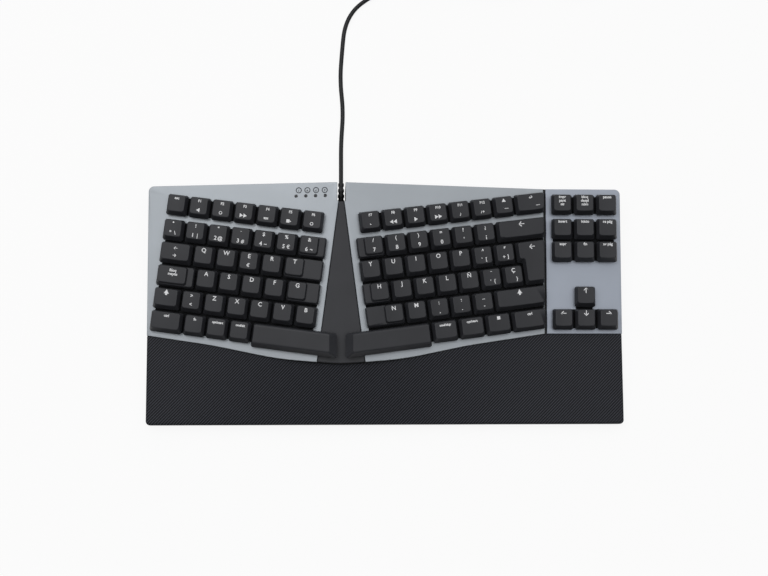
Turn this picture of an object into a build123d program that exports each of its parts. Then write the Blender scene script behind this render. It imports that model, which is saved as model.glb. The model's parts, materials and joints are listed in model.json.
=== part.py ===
from build123d import *
import math
import os

os.makedirs("parts", exist_ok=True)

# Body. The split line is where the two key halves meet, and reaches are measured outwards from it.
key_pitch = 19.05
left_reach = 160.5
right_reach = 237.0
body_depth = 198.0
rear_corner_radius = 4.5
front_corner_radius = 3.5
wall = 2.5
floor_thickness = 2.5
pad_height = 2.0
parting_height = 8.0

# Key decks: tented, turned in plan and rising to the rear.
tent_angle = 7.0
plan_turn = 8.1
rear_slope = 4.5
deck_thickness = 1.5
deck_gap = 0.4
field_corner_reach = 22.7
field_corner_front = 57.7
field_corner_height = 31.0
field_margin = 3.8
right_deck_reach = 171.4
nav_seam = 1.8
function_gap = 1.8

# Front edge of the decks, as reaches and distances from the body's front edge.
front_edge_ends = 75.4
front_edge_bends = ((106.0, 65.0), (52.0, 53.4), (0.0, 48.7))
front_edge_radii = (420.0, 260.0, 150.0)

# Cable notch between the decks at the rear.
notch_width = 6.8
notch_depth = 15.5

# Centre panel between the decks. The decks' inner edges run on past the key field to the notch.
wedge_overrun = 14.0
panel_recess = 0.8
panel_thickness = 2.0

# Palm rest.
palm_lip_height = 11.0
palm_reach = 80.0
palm_bulge = 0.56
palm_skin = 2.6
palm_edge_radius = 2.4
palm_flat_reach = 20.0
palm_middle_reach = 90.0

# Keycaps.
cap_gap = 1.45
cap_bottom = 3.4
cap_height = 5.3
cap_wall = 1.1
cap_ceiling = 1.5
cap_corner = 1.2
cap_side_inset = 1.8
cap_front_inset = 3.6
cap_rear_inset = 0.9
dish_depth = 0.5
dish_overrun = 1.0
shelf_height = 3.0
shelf_side_inset = 0.9
shelf_front_inset = 1.5
shelf_rear_inset = 0.5
caps_shelf = 0.25
end_cap_clearance = 0.7
space_end_reach = 3.0
space_end_inset = 5.8
space_front_overrun = 2.4
space_roll = 2.2

# Switches.
switch_hole = 14.0
switch_fit = 0.1
switch_depth = 3.6
switch_top = 2.2
switch_top_width = 12.0
switch_top_depth = 11.6
slider_width = 5.2
slider_depth = 3.8
slider_fit = 0.3
slider_reach = 2.0
key_travel = 3.0
pocket_spare = 0.2
stabiliser_width = 6.6
stabiliser_depth = 7.0
stem_width = 3.0
stem_depth = 5.0
stabiliser_reach = 11.9
space_stabiliser_reach = 20.0
space_switch_reach = 25.7

# Circuit boards.
board_thickness = 1.6
board_clearance = 0.5

# Ribs on the case's floor that carry the boards.
rib_reaches = (56.0, 98.0, 140.0)
rib_thickness = 1.6

# Ribbon cable between the two halves' boards.
ribbon_width = 24.0
ribbon_thickness = 0.6
ribbon_reach = 36.0
ribbon_bend_reach = 14.0
ribbon_from_front = 20.0
ribbon_clearance = 1.0
ribbon_slot_depth = 8.5

# Indicator lenses beside the split line.
lens_count = 4
lens_radius = 1.1
lens_fit = 0.3
lens_spacing = 8.0
lens_first_reach = 13.3
lens_from_rear = 11.0
lens_bar_width = 5.0
lens_bar_thickness = 1.5
lens_proud = 0.1

# Fasteners and their posts: reaches, and distances from the body's rear or front edge.
post_end_reach_left = 152.3
post_end_depth_left = 18.5
post_end_reach_right = 145.3
post_end_depth_right = 6.0
post_rear_reach = 50.0
post_rear_depth = 9.0
post_front_reach = 45.0
post_front_depth = 57.2
nav_post_inset = 31.8
palm_posts = ((120.0, -1, 30.0), (38.0, 1, 26.0), (195.0, 1, 36.0))
post_radius = 2.8
post_foot = 7.0
boss_radius = 4.2
screw_radius = 1.3
screw_length = 5.0
screw_head_radius = 2.7
screw_head_height = 1.6
screw_fit = 0.3
head_recess = 2.2
screw_spare = 0.6

# Flip-out feet.
foot_width = 34.0
foot_length = 23.0
foot_thickness = 4.0
foot_barrel_radius = 2.6
foot_pin_radius = 1.3
foot_pin_length = 2.0
foot_pin_fit = 0.15
foot_clearance = 0.5
foot_from_rear = 11.0
left_foot_reach = 118.0
right_foot_reach = 194.5
well_wall = 2.6

# Rubber pads.
pad_length = 26.0
pad_width = 9.0
pad_inset = 16.0
pad_rear_inset = 60.0

# Strain relief and lead.
cable_diameter = 3.7
cable_sides = 6
cable_exit_height = 7.0
relief_length = 22.0
relief_root_radius = 3.1
relief_tip_radius = 2.5
relief_rings = 4
relief_groove = 0.6

# Hank of the length that is put away, lying behind the keyboard.
hank_runs = 6
hank_run_length = 62.0
hank_fold_radius = 22.2
hank_step = 4.4
hank_waist_step = 4.7
hank_layer_step = 4.3
hank_draw = 5.0
hank_start_length = 14.0
hank_from_rear = 205.0
hank_reach = 100.0
hank_samples = 750
tie_width = 6.0
tie_thickness = 0.6
tie_clearance = 0.5
tie_corner = 2.4

# Plug.
plug_body_length = 24.0
plug_body_width = 15.0
plug_body_height = 7.6
plug_corner = 1.6
plug_shell_length = 12.0
plug_shell_width = 12.0
plug_shell_height = 4.5
plug_shell_wall = 0.35
plug_tongue_height = 1.9
plug_tongue_gap = 0.3
plug_neck_length = 7.0
plug_neck_radius = 2.6

split_x = (left_reach - right_reach) / 2
front_y = -body_depth / 2
rear_y = body_depth / 2
notch_y = rear_y - notch_depth
tall = 60.0
floor_top = pad_height + floor_thickness


def at(reach, side):
    """World X of a distance from the split line, side -1 left and +1 right."""
    return split_x + side * reach


def half_plane(side, height=0.0):
    """Deck surface of one half. Its origin is the inner front corner of the key field,
    X runs along the rows and Y to the rear."""
    x_dir = Vector(1, 0, 0).rotate(Axis.Y, side * tent_angle).rotate(Axis.Z, side * plan_turn)
    z_dir = Vector(0, 0, 1).rotate(Axis.X, rear_slope)
    z_dir = z_dir.rotate(Axis.Y, side * tent_angle).rotate(Axis.Z, side * plan_turn)
    corner = (at(field_corner_reach, side), front_y + field_corner_front, field_corner_height)
    return Plane(origin=corner, x_dir=x_dir, z_dir=z_dir).offset(height)


def height_on(plane, x, y):
    """Height at which the upright line through x, y meets a plane."""
    offset_xy = (x - plane.origin.X) * plane.z_dir.X + (y - plane.origin.Y) * plane.z_dir.Y
    return plane.origin.Z - offset_xy / plane.z_dir.Z


right_normal = half_plane(1).z_dir
nav_slope = math.degrees(math.atan2(-right_normal.Y, right_normal.Z))
nav_columns = 3
nav_width = nav_columns * key_pitch
nav_left = right_deck_reach + nav_seam + (right_reach - right_deck_reach - nav_seam - nav_width) / 2
nav_front = front_y + front_edge_ends + 2.4


def nav_plane(height=0.0):
    """Deck surface of the navigation keys, flush with the right deck along their seam."""
    level = height_on(half_plane(1), at(right_deck_reach, 1), nav_front)
    corner = (at(nav_left, 1), nav_front, level)
    z_dir = Vector(0, 0, 1).rotate(Axis.X, nav_slope)
    return Plane(origin=corner, x_dir=(1, 0, 0), z_dir=z_dir).offset(height)


def edge_point(side, along):
    """Plan point on a deck's inner edge, which runs beside the key field."""
    point = half_plane(side).from_local_coords((-side * field_margin, along, 0))
    return (point.X, point.Y)


def panel_plane(height=0.0):
    """Plane through both decks' inner edges."""
    low, high = (half_plane(1).from_local_coords((-field_margin, y, 0)) for y in (0, key_pitch))
    slope = math.degrees(math.atan2(high.Z - low.Z, high.Y - low.Y))
    z_dir = Vector(0, 0, 1).rotate(Axis.X, slope)
    return Plane(origin=(split_x, low.Y, low.Z), x_dir=(1, 0, 0), z_dir=z_dir).offset(height)


# Plan areas of the body, in world X and Y.
with BuildSketch() as body_area:
    with Locations((0, 0)):
        Rectangle(left_reach + right_reach, body_depth)
    fillet(body_area.vertices().group_by(Axis.Y)[-1], rear_corner_radius)
    fillet(body_area.vertices().group_by(Axis.Y)[0], front_corner_radius)
    with Locations((split_x, rear_y)):
        Rectangle(notch_width, 2 * notch_depth, mode=Mode.SUBTRACT)

front_bends = [(at(reach, -1), front_y + depth) for reach, depth in front_edge_bends]
front_bends += [(at(reach, 1), front_y + depth) for reach, depth in reversed(front_edge_bends[:-1])]
front_radii = front_edge_radii + tuple(reversed(front_edge_radii[:-1]))

with BuildSketch() as key_zone:
    with BuildLine():
        front_line = FilletPolyline(
            (at(right_deck_reach, -1), front_y + front_edge_ends),
            *front_bends,
            (at(right_deck_reach, 1), front_y + front_edge_ends),
            radius=front_radii,
        )
        Polyline(
            front_line @ 1,
            (at(right_reach, 1) + wall, front_y + front_edge_ends),
            (at(right_reach, 1) + wall, rear_y + wall),
            (at(right_deck_reach, -1), rear_y + wall),
            front_line @ 0,
        )
    make_face()

wedge_rear = 6 * key_pitch + function_gap + wedge_overrun
with BuildSketch() as wedge_area:
    with BuildLine():
        Polyline(
            edge_point(-1, -key_pitch),
            edge_point(1, -key_pitch),
            edge_point(1, wedge_rear),
            edge_point(-1, wedge_rear),
            close=True,
        )
    make_face()

with BuildSketch() as panel_zone:
    add(wedge_area.sketch)
    add(key_zone.sketch, mode=Mode.INTERSECT)
    with Locations((split_x, notch_y + body_depth / 2)):
        Rectangle(2 * left_reach, body_depth, mode=Mode.SUBTRACT)


def deck_zone(inner, outer):
    """Part of the key zone between two world X values, clear of the wedge and the notch."""
    with BuildSketch() as zone:
        add(body_area.sketch)
        add(key_zone.sketch, mode=Mode.INTERSECT)
        with Locations(((inner + outer) / 2, 0)):
            Rectangle(outer - inner, 2 * body_depth, mode=Mode.INTERSECT)
        add(wedge_area.sketch, mode=Mode.SUBTRACT)
    return zone.sketch


left_zone = deck_zone(at(left_reach, -1), split_x)
right_zone = deck_zone(split_x, at(right_deck_reach, 1))
nav_zone = deck_zone(at(right_deck_reach, 1), at(right_reach, 1))
nav_deck_zone = deck_zone(at(right_deck_reach + nav_seam, 1), at(right_reach, 1))

with BuildSketch() as palm_zone:
    add(body_area.sketch)
    add(key_zone.sketch, mode=Mode.SUBTRACT)


def inset(area, distance):
    """An area with its whole edge moved inwards."""
    with BuildSketch() as smaller:
        add(area)
        offset(amount=-distance, kind=Kind.INTERSECTION)
    return smaller.sketch


def slab(area, plane, top, bottom):
    """The part of an upright prism between two heights above a sloping plane."""
    with BuildPart() as block:
        extrude(to_extrude=area, amount=tall)
        split(bisect_by=plane.offset(top), keep=Keep.BOTTOM)
        split(bisect_by=plane.offset(bottom), keep=Keep.TOP)
    return block.part


def above(area, plane):
    """The part of an upright prism over a sloping plane."""
    with BuildPart() as block:
        extrude(to_extrude=area, amount=tall)
        split(bisect_by=plane, keep=Keep.TOP)
    return block.part


# Key rows, each from the split line outwards: name, width and lower shelf in key pitches.
# A row starts at its own distance from the key field's inner edge, and None is cut by the deck's end.
left_rows = (
    (-1.0, (("left_space", 3.75), ("left_alt", 1), ("left_option", 1), ("function_shift", 1),
            ("left_control", 1.5))),
    (0.0, (("b", 1), ("v", 1), ("c", 1), ("x", 1), ("z", 1), ("angle", 1), ("left_shift", 1.25))),
    (0.0, (("g", 1.5, 0.5), ("f", 1), ("d", 1), ("s", 1), ("a", 1), ("caps_lock", 1.75, caps_shelf))),
    (0.0, (("t", 1.75, 0.75), ("r", 1), ("e", 1), ("w", 1), ("q", 1), ("tab", 1.5))),
    (0.0, (("6", 1.25, 0.25), ("5", 1), ("4", 1), ("3", 1), ("2", 1), ("1", 1), ("degree", 1))),
    (0.25, (("f6", 1), ("f5", 1), ("f4", 1), ("f3", 1), ("f2", 1), ("f1", 1), ("escape", 1))),
)
right_rows = (
    (-0.95, (("right_space", 3.75), ("right_alt", 1.2), ("right_option", 1.2), ("menu", 1.2),
             ("right_control", None))),
    (0.0, (("n", 1.75, 0.75), ("m", 1), ("comma", 1), ("period", 1), ("hyphen", 1),
           ("right_shift", None))),
    (0.0, (("h", 1.25, 0.25), ("j", 1), ("k", 1), ("l", 1), ("n_tilde", 1), ("acute", 1),
           ("c_cedilla", 1))),
    (0.0, (("y", 1), ("u", 1), ("i", 1), ("o", 1), ("p", 1), ("grave", 1), ("plus", 1))),
    (0.0, (("7", 1.25, 0.25), ("8", 1), ("9", 1), ("0", 1), ("apostrophe", 1), ("exclamation", 1),
           ("backspace", None))),
    (0.25, (("f7", 1), ("f8", 1), ("f9", 1), ("f10", 1), ("f11", 1), ("f12", 1), ("print", 1),
            ("eject", None))),
)
nav_rows = (
    ("arrow_left", "arrow_down", "arrow_right"),
    (None, "arrow_up", None),
    (None, None, None),
    ("delete", "end", "page_down"),
    ("insert", "home", "page_up"),
    ("print_screen", "scroll_lock", "pause"),
)
row_count = len(left_rows)
enter_row = 2
enter_front_start = 7.25
enter_rear_start = 7.0


def row_front(row):
    """Distance of a row's front line from the key field's front edge."""
    return row * key_pitch + (function_gap if row == row_count - 1 else 0)


def end_line_x(y):
    """Local X, on the right half, where the caps at the row ends stop beside the deck's edge."""
    plane = half_plane(1)
    limit = at(right_deck_reach - end_cap_clearance, 1)
    return (limit - plane.origin.X - y * plane.y_dir.X) / plane.x_dir.X


def space_line_x(side, y):
    """Local X where a space bar ends beside the split line, along the body's own Y axis."""
    plane = half_plane(side)
    limit = at(space_end_reach, side)
    return (limit - plane.origin.X - y * plane.y_dir.X) / plane.x_dir.X


def shrink(outline, insets):
    """Corners of an outline, counter-clockwise, with each side moved inwards by its own distance."""
    sides = []
    for i, start in enumerate(outline):
        end = outline[(i + 1) % len(outline)]
        length = math.dist(start, end)
        normal = ((start[1] - end[1]) / length, (end[0] - start[0]) / length)
        sides.append((normal, normal[0] * start[0] + normal[1] * start[1] + insets[i]))
    corners = []
    for i in range(len(outline)):
        (a, b), c = sides[i - 1]
        (d, e), f = sides[i]
        area = a * e - b * d
        corners.append(((c * e - b * f) / area, (a * f - c * d) / area))
    return corners


def outline_face(outline, height, corner=0.0):
    """A flat face with chamfered corners at a height."""
    with BuildSketch(Plane.XY.offset(height)) as face:
        with BuildLine():
            Polyline(*outline, close=True)
        make_face()
        if corner:
            chamfer(face.vertices(), corner)
    return face.sketch


def block_insets(outline, sides, front, rear):
    """Top insets of an outline: front and rear on its long straight sides, the rest on its ends."""
    insets = []
    for i, start in enumerate(outline):
        end = outline[(i + 1) % len(outline)]
        along = end[0] - start[0]
        across = abs(end[1] - start[1])
        insets.append(sides if abs(along) < across else front if along > 0 else rear)
    return insets


def keycap(outline, insets, shelf_outline=None, shelf_insets=None, stems=((0, 0),), rolled=False):
    """A hollow cap over the origin at deck level, with its slider and any stabiliser stems."""
    cap_top = cap_bottom + cap_height
    ceiling = cap_top - cap_ceiling
    share = (ceiling - cap_bottom) / cap_height
    inner = [cap_wall + inset_top * share for inset_top in insets]
    walls = [cap_wall] * len(outline)
    top = shrink(outline, insets)
    with BuildPart() as cap:
        loft(
            sections=[outline_face(outline, cap_bottom, cap_corner), outline_face(top, cap_top, cap_corner)],
            ruled=True,
        )
        if rolled:
            long_edges = cap.faces().sort_by(Axis.Z)[-1].edges().filter_by(Axis.X)
            fillet(long_edges, space_roll)
        elif dish_depth:
            left, right = min(p[0] for p in top), max(p[0] for p in top)
            chord = right - left + dish_overrun
            radius = chord**2 / (8 * dish_depth) + dish_depth / 2
            middle = ((left + right) / 2, cap_top + radius - dish_depth)
            with BuildSketch(Plane.XZ):
                with Locations(middle):
                    Circle(radius)
            extrude(amount=2 * key_pitch, both=True, mode=Mode.SUBTRACT)
        if shelf_outline:
            shelf_top = shrink(shelf_outline, shelf_insets)
            shelf_level = cap_bottom + shelf_height
            loft(
                sections=[
                    outline_face(shelf_outline, cap_bottom, cap_corner),
                    outline_face(shelf_top, shelf_level, cap_corner),
                ],
                ruled=True,
            )
            shelf_inner = [cap_wall + inset_top for inset_top in shelf_insets]
            loft(
                sections=[
                    outline_face(shrink(shelf_outline, [cap_wall] * len(shelf_outline)), cap_bottom),
                    outline_face(shrink(shelf_outline, shelf_inner), shelf_level - cap_ceiling),
                ],
                ruled=True,
                mode=Mode.SUBTRACT,
            )
        loft(
            sections=[
                outline_face(shrink(outline, walls), cap_bottom),
                outline_face(shrink(outline, inner), ceiling),
            ],
            ruled=True,
            mode=Mode.SUBTRACT,
        )
        with BuildSketch(Plane.XY.offset(switch_top - slider_reach)):
            with Locations(stems[0]):
                Rectangle(slider_width, slider_depth)
            if stems[1:]:
                with Locations(*stems[1:]):
                    Rectangle(stem_width, stem_depth)
        extrude(amount=ceiling - switch_top + slider_reach)
    return cap.part


def rectangle_outline(left, right, front, rear):
    return [(left, front), (right, front), (right, rear), (left, rear)]


def make_key(side, name, inner, width, shelf, row):
    """One cap in its own key's frame, with that frame's place in the half's plane."""
    front = row_front(row) + cap_gap / 2
    rear = row_front(row) + key_pitch - cap_gap / 2
    near = inner * key_pitch + cap_gap / 2
    middle_y = (front + rear) / 2
    is_space = name in ("left_space", "right_space")
    base_front = front - space_front_overrun if is_space else front
    stems = [(0, 0)]
    if width is None:
        far = None
        centre = (near - cap_gap / 2 + end_line_x(middle_y)) / 2
    else:
        far = (inner + width) * key_pitch - cap_gap / 2
        centre = (inner + shelf + (width - shelf) / 2) * key_pitch
    if name in ("backspace", "right_shift"):
        stems += [(-stabiliser_reach, 0), (stabiliser_reach, 0)]
    if is_space:
        centre = space_switch_reach
        stems += [(-space_stabiliser_reach, 0), (space_stabiliser_reach, 0)]

    def local(x, y):
        return (side * (x - centre), y - middle_y)

    if is_space:
        near_front = side * space_line_x(side, base_front)
        near_rear = side * space_line_x(side, rear)
        corners = [
            local(near_front, base_front),
            local(far, base_front),
            local(far, rear),
            local(near_rear, rear),
        ]
    elif width is None:
        corners = [
            local(near, front),
            local(end_line_x(front), front),
            local(end_line_x(rear), rear),
            local(near, rear),
        ]
    else:
        cap_near = near + shelf * key_pitch
        corners = [local(cap_near, front), local(far, front), local(far, rear), local(cap_near, rear)]
    outline = corners if side > 0 else corners[::-1]
    insets = block_insets(outline, cap_side_inset, cap_front_inset, cap_rear_inset)
    if is_space:
        insets[-1 if side > 0 else 3] = space_end_inset
    shelf_outline = None
    shelf_insets = None
    if shelf:
        lower = [local(near, front), local(far, front), local(far, rear), local(near, rear)]
        shelf_outline = lower if side > 0 else lower[::-1]
        shelf_insets = block_insets(shelf_outline, shelf_side_inset, shelf_front_inset, shelf_rear_inset)
    cap = keycap(outline, insets, shelf_outline, shelf_insets, stems, rolled=is_space)
    return cap, (side * centre, middle_y), stems


def make_enter():
    """The two-row cap: its rear half is wider by the step of the row behind."""
    near_lower = enter_front_start * key_pitch + cap_gap / 2
    near_upper = enter_rear_start * key_pitch + cap_gap / 2
    front = row_front(enter_row) + cap_gap / 2
    step = row_front(enter_row + 1) + cap_gap / 2
    rear = row_front(enter_row + 1) + key_pitch - cap_gap / 2
    middle_y = (front + rear) / 2
    centre = (near_lower - cap_gap / 2 + end_line_x(middle_y)) / 2
    points = [
        (near_lower, front),
        (end_line_x(front), front),
        (end_line_x(rear), rear),
        (near_upper, rear),
        (near_upper, step),
        (near_lower, step),
    ]
    outline = [(x - centre, y - middle_y) for x, y in points]
    insets = block_insets(outline, cap_side_inset, cap_front_inset, cap_rear_inset)
    stems = [(0, 0), (0, -stabiliser_reach), (0, stabiliser_reach)]
    return keycap(outline, insets, stems=stems), (centre, middle_y), stems


# Every key: its cap, its place in its plane, and its stems.
keys = {}
for side, rows in ((-1, left_rows), (1, right_rows)):
    for row, (start, row_keys) in enumerate(rows):
        inner = start
        for name, width, *steps in row_keys:
            shelf = sum(steps)
            keys[name] = (half_plane(side), *make_key(side, name, inner, width, shelf, row))
            inner += width or 0
keys["enter"] = (half_plane(1), *make_enter())

cell = key_pitch - cap_gap
plain_outline = rectangle_outline(-cell / 2, cell / 2, -cell / 2, cell / 2)
plain_insets = block_insets(plain_outline, cap_side_inset, cap_front_inset, cap_rear_inset)
plain_cap = keycap(plain_outline, plain_insets)
for row, row_keys in enumerate(nav_rows):
    for column, name in enumerate(row_keys):
        if name:
            place = ((column + 0.5) * key_pitch, row_front(row) + key_pitch / 2)
            keys[name] = (nav_plane(), plain_cap, place, [(0, 0)])


def save(piece, name):
    piece.label = name
    export_step(piece, f"parts/{name}.step")


def place_keys(names):
    """The named keys as one part, each cap on its switch."""
    caps = []
    for name in names:
        plane, cap, (x, y), stems = keys[name]
        caps.append(cap.moved(plane.location * Location((x, y, 0))))
    with BuildPart() as placed:
        add(caps)
    return placed.part


key_groups = {
    "keys_left_function": ("escape", "f1", "f2", "f3", "f4", "f5", "f6"),
    "keys_right_function": ("f7", "f8", "f9", "f10", "f11", "f12", "print", "eject"),
    "keys_left_number": ("degree", "1", "2", "3", "4", "5", "6"),
    "keys_right_number": ("7", "8", "9", "0", "apostrophe", "exclamation", "backspace"),
    "keys_left_modifier": ("tab", "caps_lock", "left_shift", "angle", "left_control", "function_shift",
                           "left_option", "left_alt"),
    "keys_right_modifier": ("grave", "plus", "acute", "comma", "period", "hyphen", "right_shift",
                            "right_alt", "right_option", "menu", "right_control"),
    "keys_navigation": tuple(name for row_keys in nav_rows for name in row_keys if name),
}
grouped = [name for names in key_groups.values() for name in names]
for name in keys:
    if name not in grouped:
        key_groups[f"key_{name}"] = (name,)

for node, names in key_groups.items():
    save(place_keys(names), node)
print(len(keys), "keys in", len(key_groups), "nodes")

# Every switch and stabiliser place, by plane, for the holes and housings.
fields = (("left", half_plane(-1)), ("right", half_plane(1)), ("nav", nav_plane()))
switch_places = {field: [] for field, _ in fields}
stabiliser_places = {field: [] for field, _ in fields}
for name, (plane, cap, (x, y), stems) in keys.items():
    half = "left" if plane.origin.X < split_x else "right"
    field = "nav" if name in key_groups["keys_navigation"] else half
    switch_places[field].append((x, y))
    stabiliser_places[field] += [(x + dx, y + dy) for dx, dy in stems[1:]]

deck_zones = {"left": left_zone, "right": right_zone, "nav": nav_deck_zone}
case_zones = {"left": left_zone, "right": right_zone, "nav": nav_zone}

lens_reaches = [lens_first_reach + i * lens_spacing for i in range(lens_count)]
lens_row = [(at(reach, -1), rear_y - lens_from_rear) for reach in lens_reaches]

post_places = {
    "left": [
        (at(post_end_reach_left, -1), rear_y - post_end_depth_left),
        (at(post_rear_reach, -1), rear_y - post_rear_depth),
        (at(post_front_reach, -1), front_y + post_front_depth),
    ],
    "right": [
        (at(post_end_reach_right, 1), rear_y - post_end_depth_right),
        (at(post_rear_reach, 1), rear_y - post_rear_depth),
        (at(post_front_reach, 1), front_y + post_front_depth),
    ],
    "nav": [(at(right_reach - nav_post_inset, 1), nav_front + 2.5 * key_pitch)],
    "palm": [(at(reach, side), front_y + depth) for reach, side, depth in palm_posts],
}
all_posts = [place for places in post_places.values() for place in places]

seat_height = pad_height + head_recess
screw_tip = seat_height + screw_length


def screw_bores(places):
    """Bores for the screws' shanks, from the posts' feet to past the screws' tips."""
    with BuildPart() as bores:
        with BuildSketch(Plane.XY.offset(post_foot)):
            with Locations(*places):
                Circle(screw_radius + screw_fit)
        extrude(amount=screw_tip + screw_spare - post_foot)
    return bores.part


# Decks: the metal tops that carry the switches.
for field, plane in fields:
    with BuildPart() as deck:
        add(slab(deck_zones[field], plane, 0, -deck_thickness))
        with BuildSketch(plane):
            with Locations(*switch_places[field]):
                Rectangle(switch_hole, switch_hole)
            if stabiliser_places[field]:
                with Locations(*stabiliser_places[field]):
                    Rectangle(stabiliser_width + 2 * switch_fit, stabiliser_depth + 2 * switch_fit)
        extrude(amount=deck_thickness, both=True, mode=Mode.SUBTRACT)
        if field == "left":
            with BuildSketch():
                with Locations(*lens_row):
                    Circle(lens_radius + lens_fit)
            extrude(amount=tall, mode=Mode.SUBTRACT)
        with BuildSketch(Plane.XY.offset(post_foot), mode=Mode.PRIVATE) as post_circles:
            with Locations(*post_places[field]):
                Circle(post_radius)
        with BuildPart(mode=Mode.PRIVATE) as posts:
            add(slab(post_circles.sketch, plane, -deck_thickness, -tall))
        add(posts.part)
        add(screw_bores(post_places[field]), mode=Mode.SUBTRACT)
    save(deck.part, f"{field}_deck")

# Centre panel: fills the wedge between the decks and clears their inner edges.
panel_area = inset(panel_zone.sketch, deck_gap)
with BuildPart() as center_panel:
    add(slab(panel_area, panel_plane(-panel_recess), 0, -panel_thickness))
save(center_panel.part, "center_panel")


def palm_profile(reach, side, drop):
    """Section of the palm rest across a distance from the split line, lowered by the skin for the inside."""
    x = at(reach, side)
    if reach <= palm_flat_reach:
        plane = panel_plane(-panel_recess)
    elif reach > right_deck_reach:
        plane = nav_plane()
    else:
        plane = half_plane(side)
    deep = front_y + palm_reach
    lip = palm_lip_height - drop
    rear = height_on(plane, x, deep) - drop
    middle = lip + palm_bulge * (rear - lip)
    with BuildSketch(Plane(origin=(x, 0, 0), x_dir=(0, 1, 0), z_dir=(1, 0, 0))) as section:
        with BuildLine():
            Line((deep, lip - palm_lip_height), (front_y, lip - palm_lip_height))
            Line((front_y, lip - palm_lip_height), (front_y, lip))
            ThreePointArc((front_y, lip), (front_y + palm_reach / 2, middle), (deep, rear))
            Line((deep, rear), (deep, lip - palm_lip_height))
        make_face()
    return section.sketch


def palm_block(drop):
    """The palm rest's top surface as a block, from end to end of the body."""
    stations = [
        (left_reach, -1),
        (palm_middle_reach, -1),
        (palm_flat_reach, -1),
        (palm_flat_reach, 1),
        (palm_middle_reach, 1),
        (right_deck_reach, 1),
        (right_reach, 1),
    ]
    with BuildPart() as block:
        loft(sections=[palm_profile(reach, side, drop) for reach, side in stations])
    return block.part


# Palm rest: a hollow cover, crowned in the middle, that follows the decks' front edge.
with BuildSketch() as palm_area:
    add(body_area.sketch)
    with BuildSketch(mode=Mode.PRIVATE) as behind:
        add(key_zone.sketch)
        offset(amount=deck_gap, kind=Kind.INTERSECTION)
    add(behind.sketch, mode=Mode.SUBTRACT)
palm_outside = slab(palm_area.sketch, Plane.XY, tall, parting_height)
palm_inside = slab(inset(palm_area.sketch, wall), Plane.XY, tall, parting_height)
with BuildPart() as palm_hollow:
    add(palm_block(palm_skin))
    add(palm_inside, mode=Mode.INTERSECT)
with BuildPart() as palm_rest:
    add(palm_block(0))
    add(palm_outside, mode=Mode.INTERSECT)
    rim = palm_rest.faces().sort_by(SortBy.AREA)[-1].edges()
    front_rim = rim.sort_by(Axis.Y)[0]
    fillet(front_rim, palm_edge_radius)
    add(palm_hollow.part, mode=Mode.SUBTRACT)
    with BuildSketch(Plane.XY.offset(post_foot), mode=Mode.PRIVATE) as palm_circles:
        with Locations(*post_places["palm"]):
            Circle(post_radius)
    with BuildPart(mode=Mode.PRIVATE) as palm_pillars:
        extrude(to_extrude=palm_circles.sketch, amount=tall)
        add(palm_block(palm_skin / 2), mode=Mode.INTERSECT)
    add(palm_pillars.part)
    add(screw_bores(post_places["palm"]), mode=Mode.SUBTRACT)
save(palm_rest.part, "palm_rest")

# Circuit boards: one under each deck, cut clear of the posts.
board_top = -switch_depth
board_bottom = board_top - board_thickness
with BuildPart() as circuit_boards:
    for field, plane in fields:
        with BuildSketch(mode=Mode.PRIVATE) as board_area:
            add(inset(case_zones[field], wall + board_clearance))
            with Locations(*post_places[field]):
                Circle(post_radius + board_clearance, mode=Mode.SUBTRACT)
        add(slab(board_area.sketch, plane, board_top, board_bottom))
save(circuit_boards.part, "circuit_boards")

# Switch housings stand on the boards in the decks' holes.
switch_body = switch_hole - 2 * switch_fit
pocket_floor = switch_top - slider_reach - key_travel - pocket_spare
with BuildPart() as housing:
    with BuildSketch(Plane.XY.offset(board_top)):
        Rectangle(switch_body, switch_body)
    extrude(amount=switch_depth)
    with BuildSketch():
        Rectangle(switch_top_width, switch_top_depth)
    extrude(amount=switch_top)
    with BuildSketch(Plane.XY.offset(pocket_floor)):
        Rectangle(slider_width + 2 * slider_fit, slider_depth + 2 * slider_fit)
    extrude(amount=tall, mode=Mode.SUBTRACT)

with BuildPart() as guide:
    with BuildSketch(Plane.XY.offset(board_top)):
        Rectangle(stabiliser_width, stabiliser_depth)
    extrude(amount=switch_depth + switch_top)
    with BuildSketch(Plane.XY.offset(pocket_floor)):
        Rectangle(stem_width + 2 * slider_fit, stem_depth + 2 * slider_fit)
    extrude(amount=tall, mode=Mode.SUBTRACT)


def place_on_switches(piece, places):
    """Copies of one piece at places in each deck's plane."""
    spots = [plane.location * Location((x, y, 0)) for field, plane in fields for x, y in places[field]]
    with BuildPart() as placed:
        with Locations(*spots):
            add(piece)
    return placed.part


save(place_on_switches(housing.part, switch_places), "switch_housings")
save(place_on_switches(guide.part, stabiliser_places), "stabilizer_guides")

# Light guide: one bar under the left deck with its four lenses through it.
lens_span = lens_reaches[-1] - lens_reaches[0]
with BuildSketch() as lens_bar_area:
    with Locations((at(lens_first_reach + lens_span / 2, -1), rear_y - lens_from_rear)):
        Rectangle(lens_span + lens_bar_width, lens_bar_width)
with BuildSketch() as lens_circles:
    with Locations(*lens_row):
        Circle(lens_radius)
with BuildPart() as indicator_lenses:
    add(slab(lens_bar_area.sketch, half_plane(-1), -deck_thickness, -deck_thickness - lens_bar_thickness))
    add(slab(lens_circles.sketch, half_plane(-1), lens_proud, -deck_thickness))
save(indicator_lenses.part, "indicator_lenses")

# Ribbon cable: a flat strip under both boards, folded where their planes meet.
fold_line = half_plane(-1).z_dir.cross(half_plane(1).z_dir).normalized()
ribbon_plane = Plane(
    origin=panel_plane().from_local_coords((0, ribbon_from_front, 0)),
    x_dir=(1, 0, 0),
    z_dir=-fold_line,
)


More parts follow.
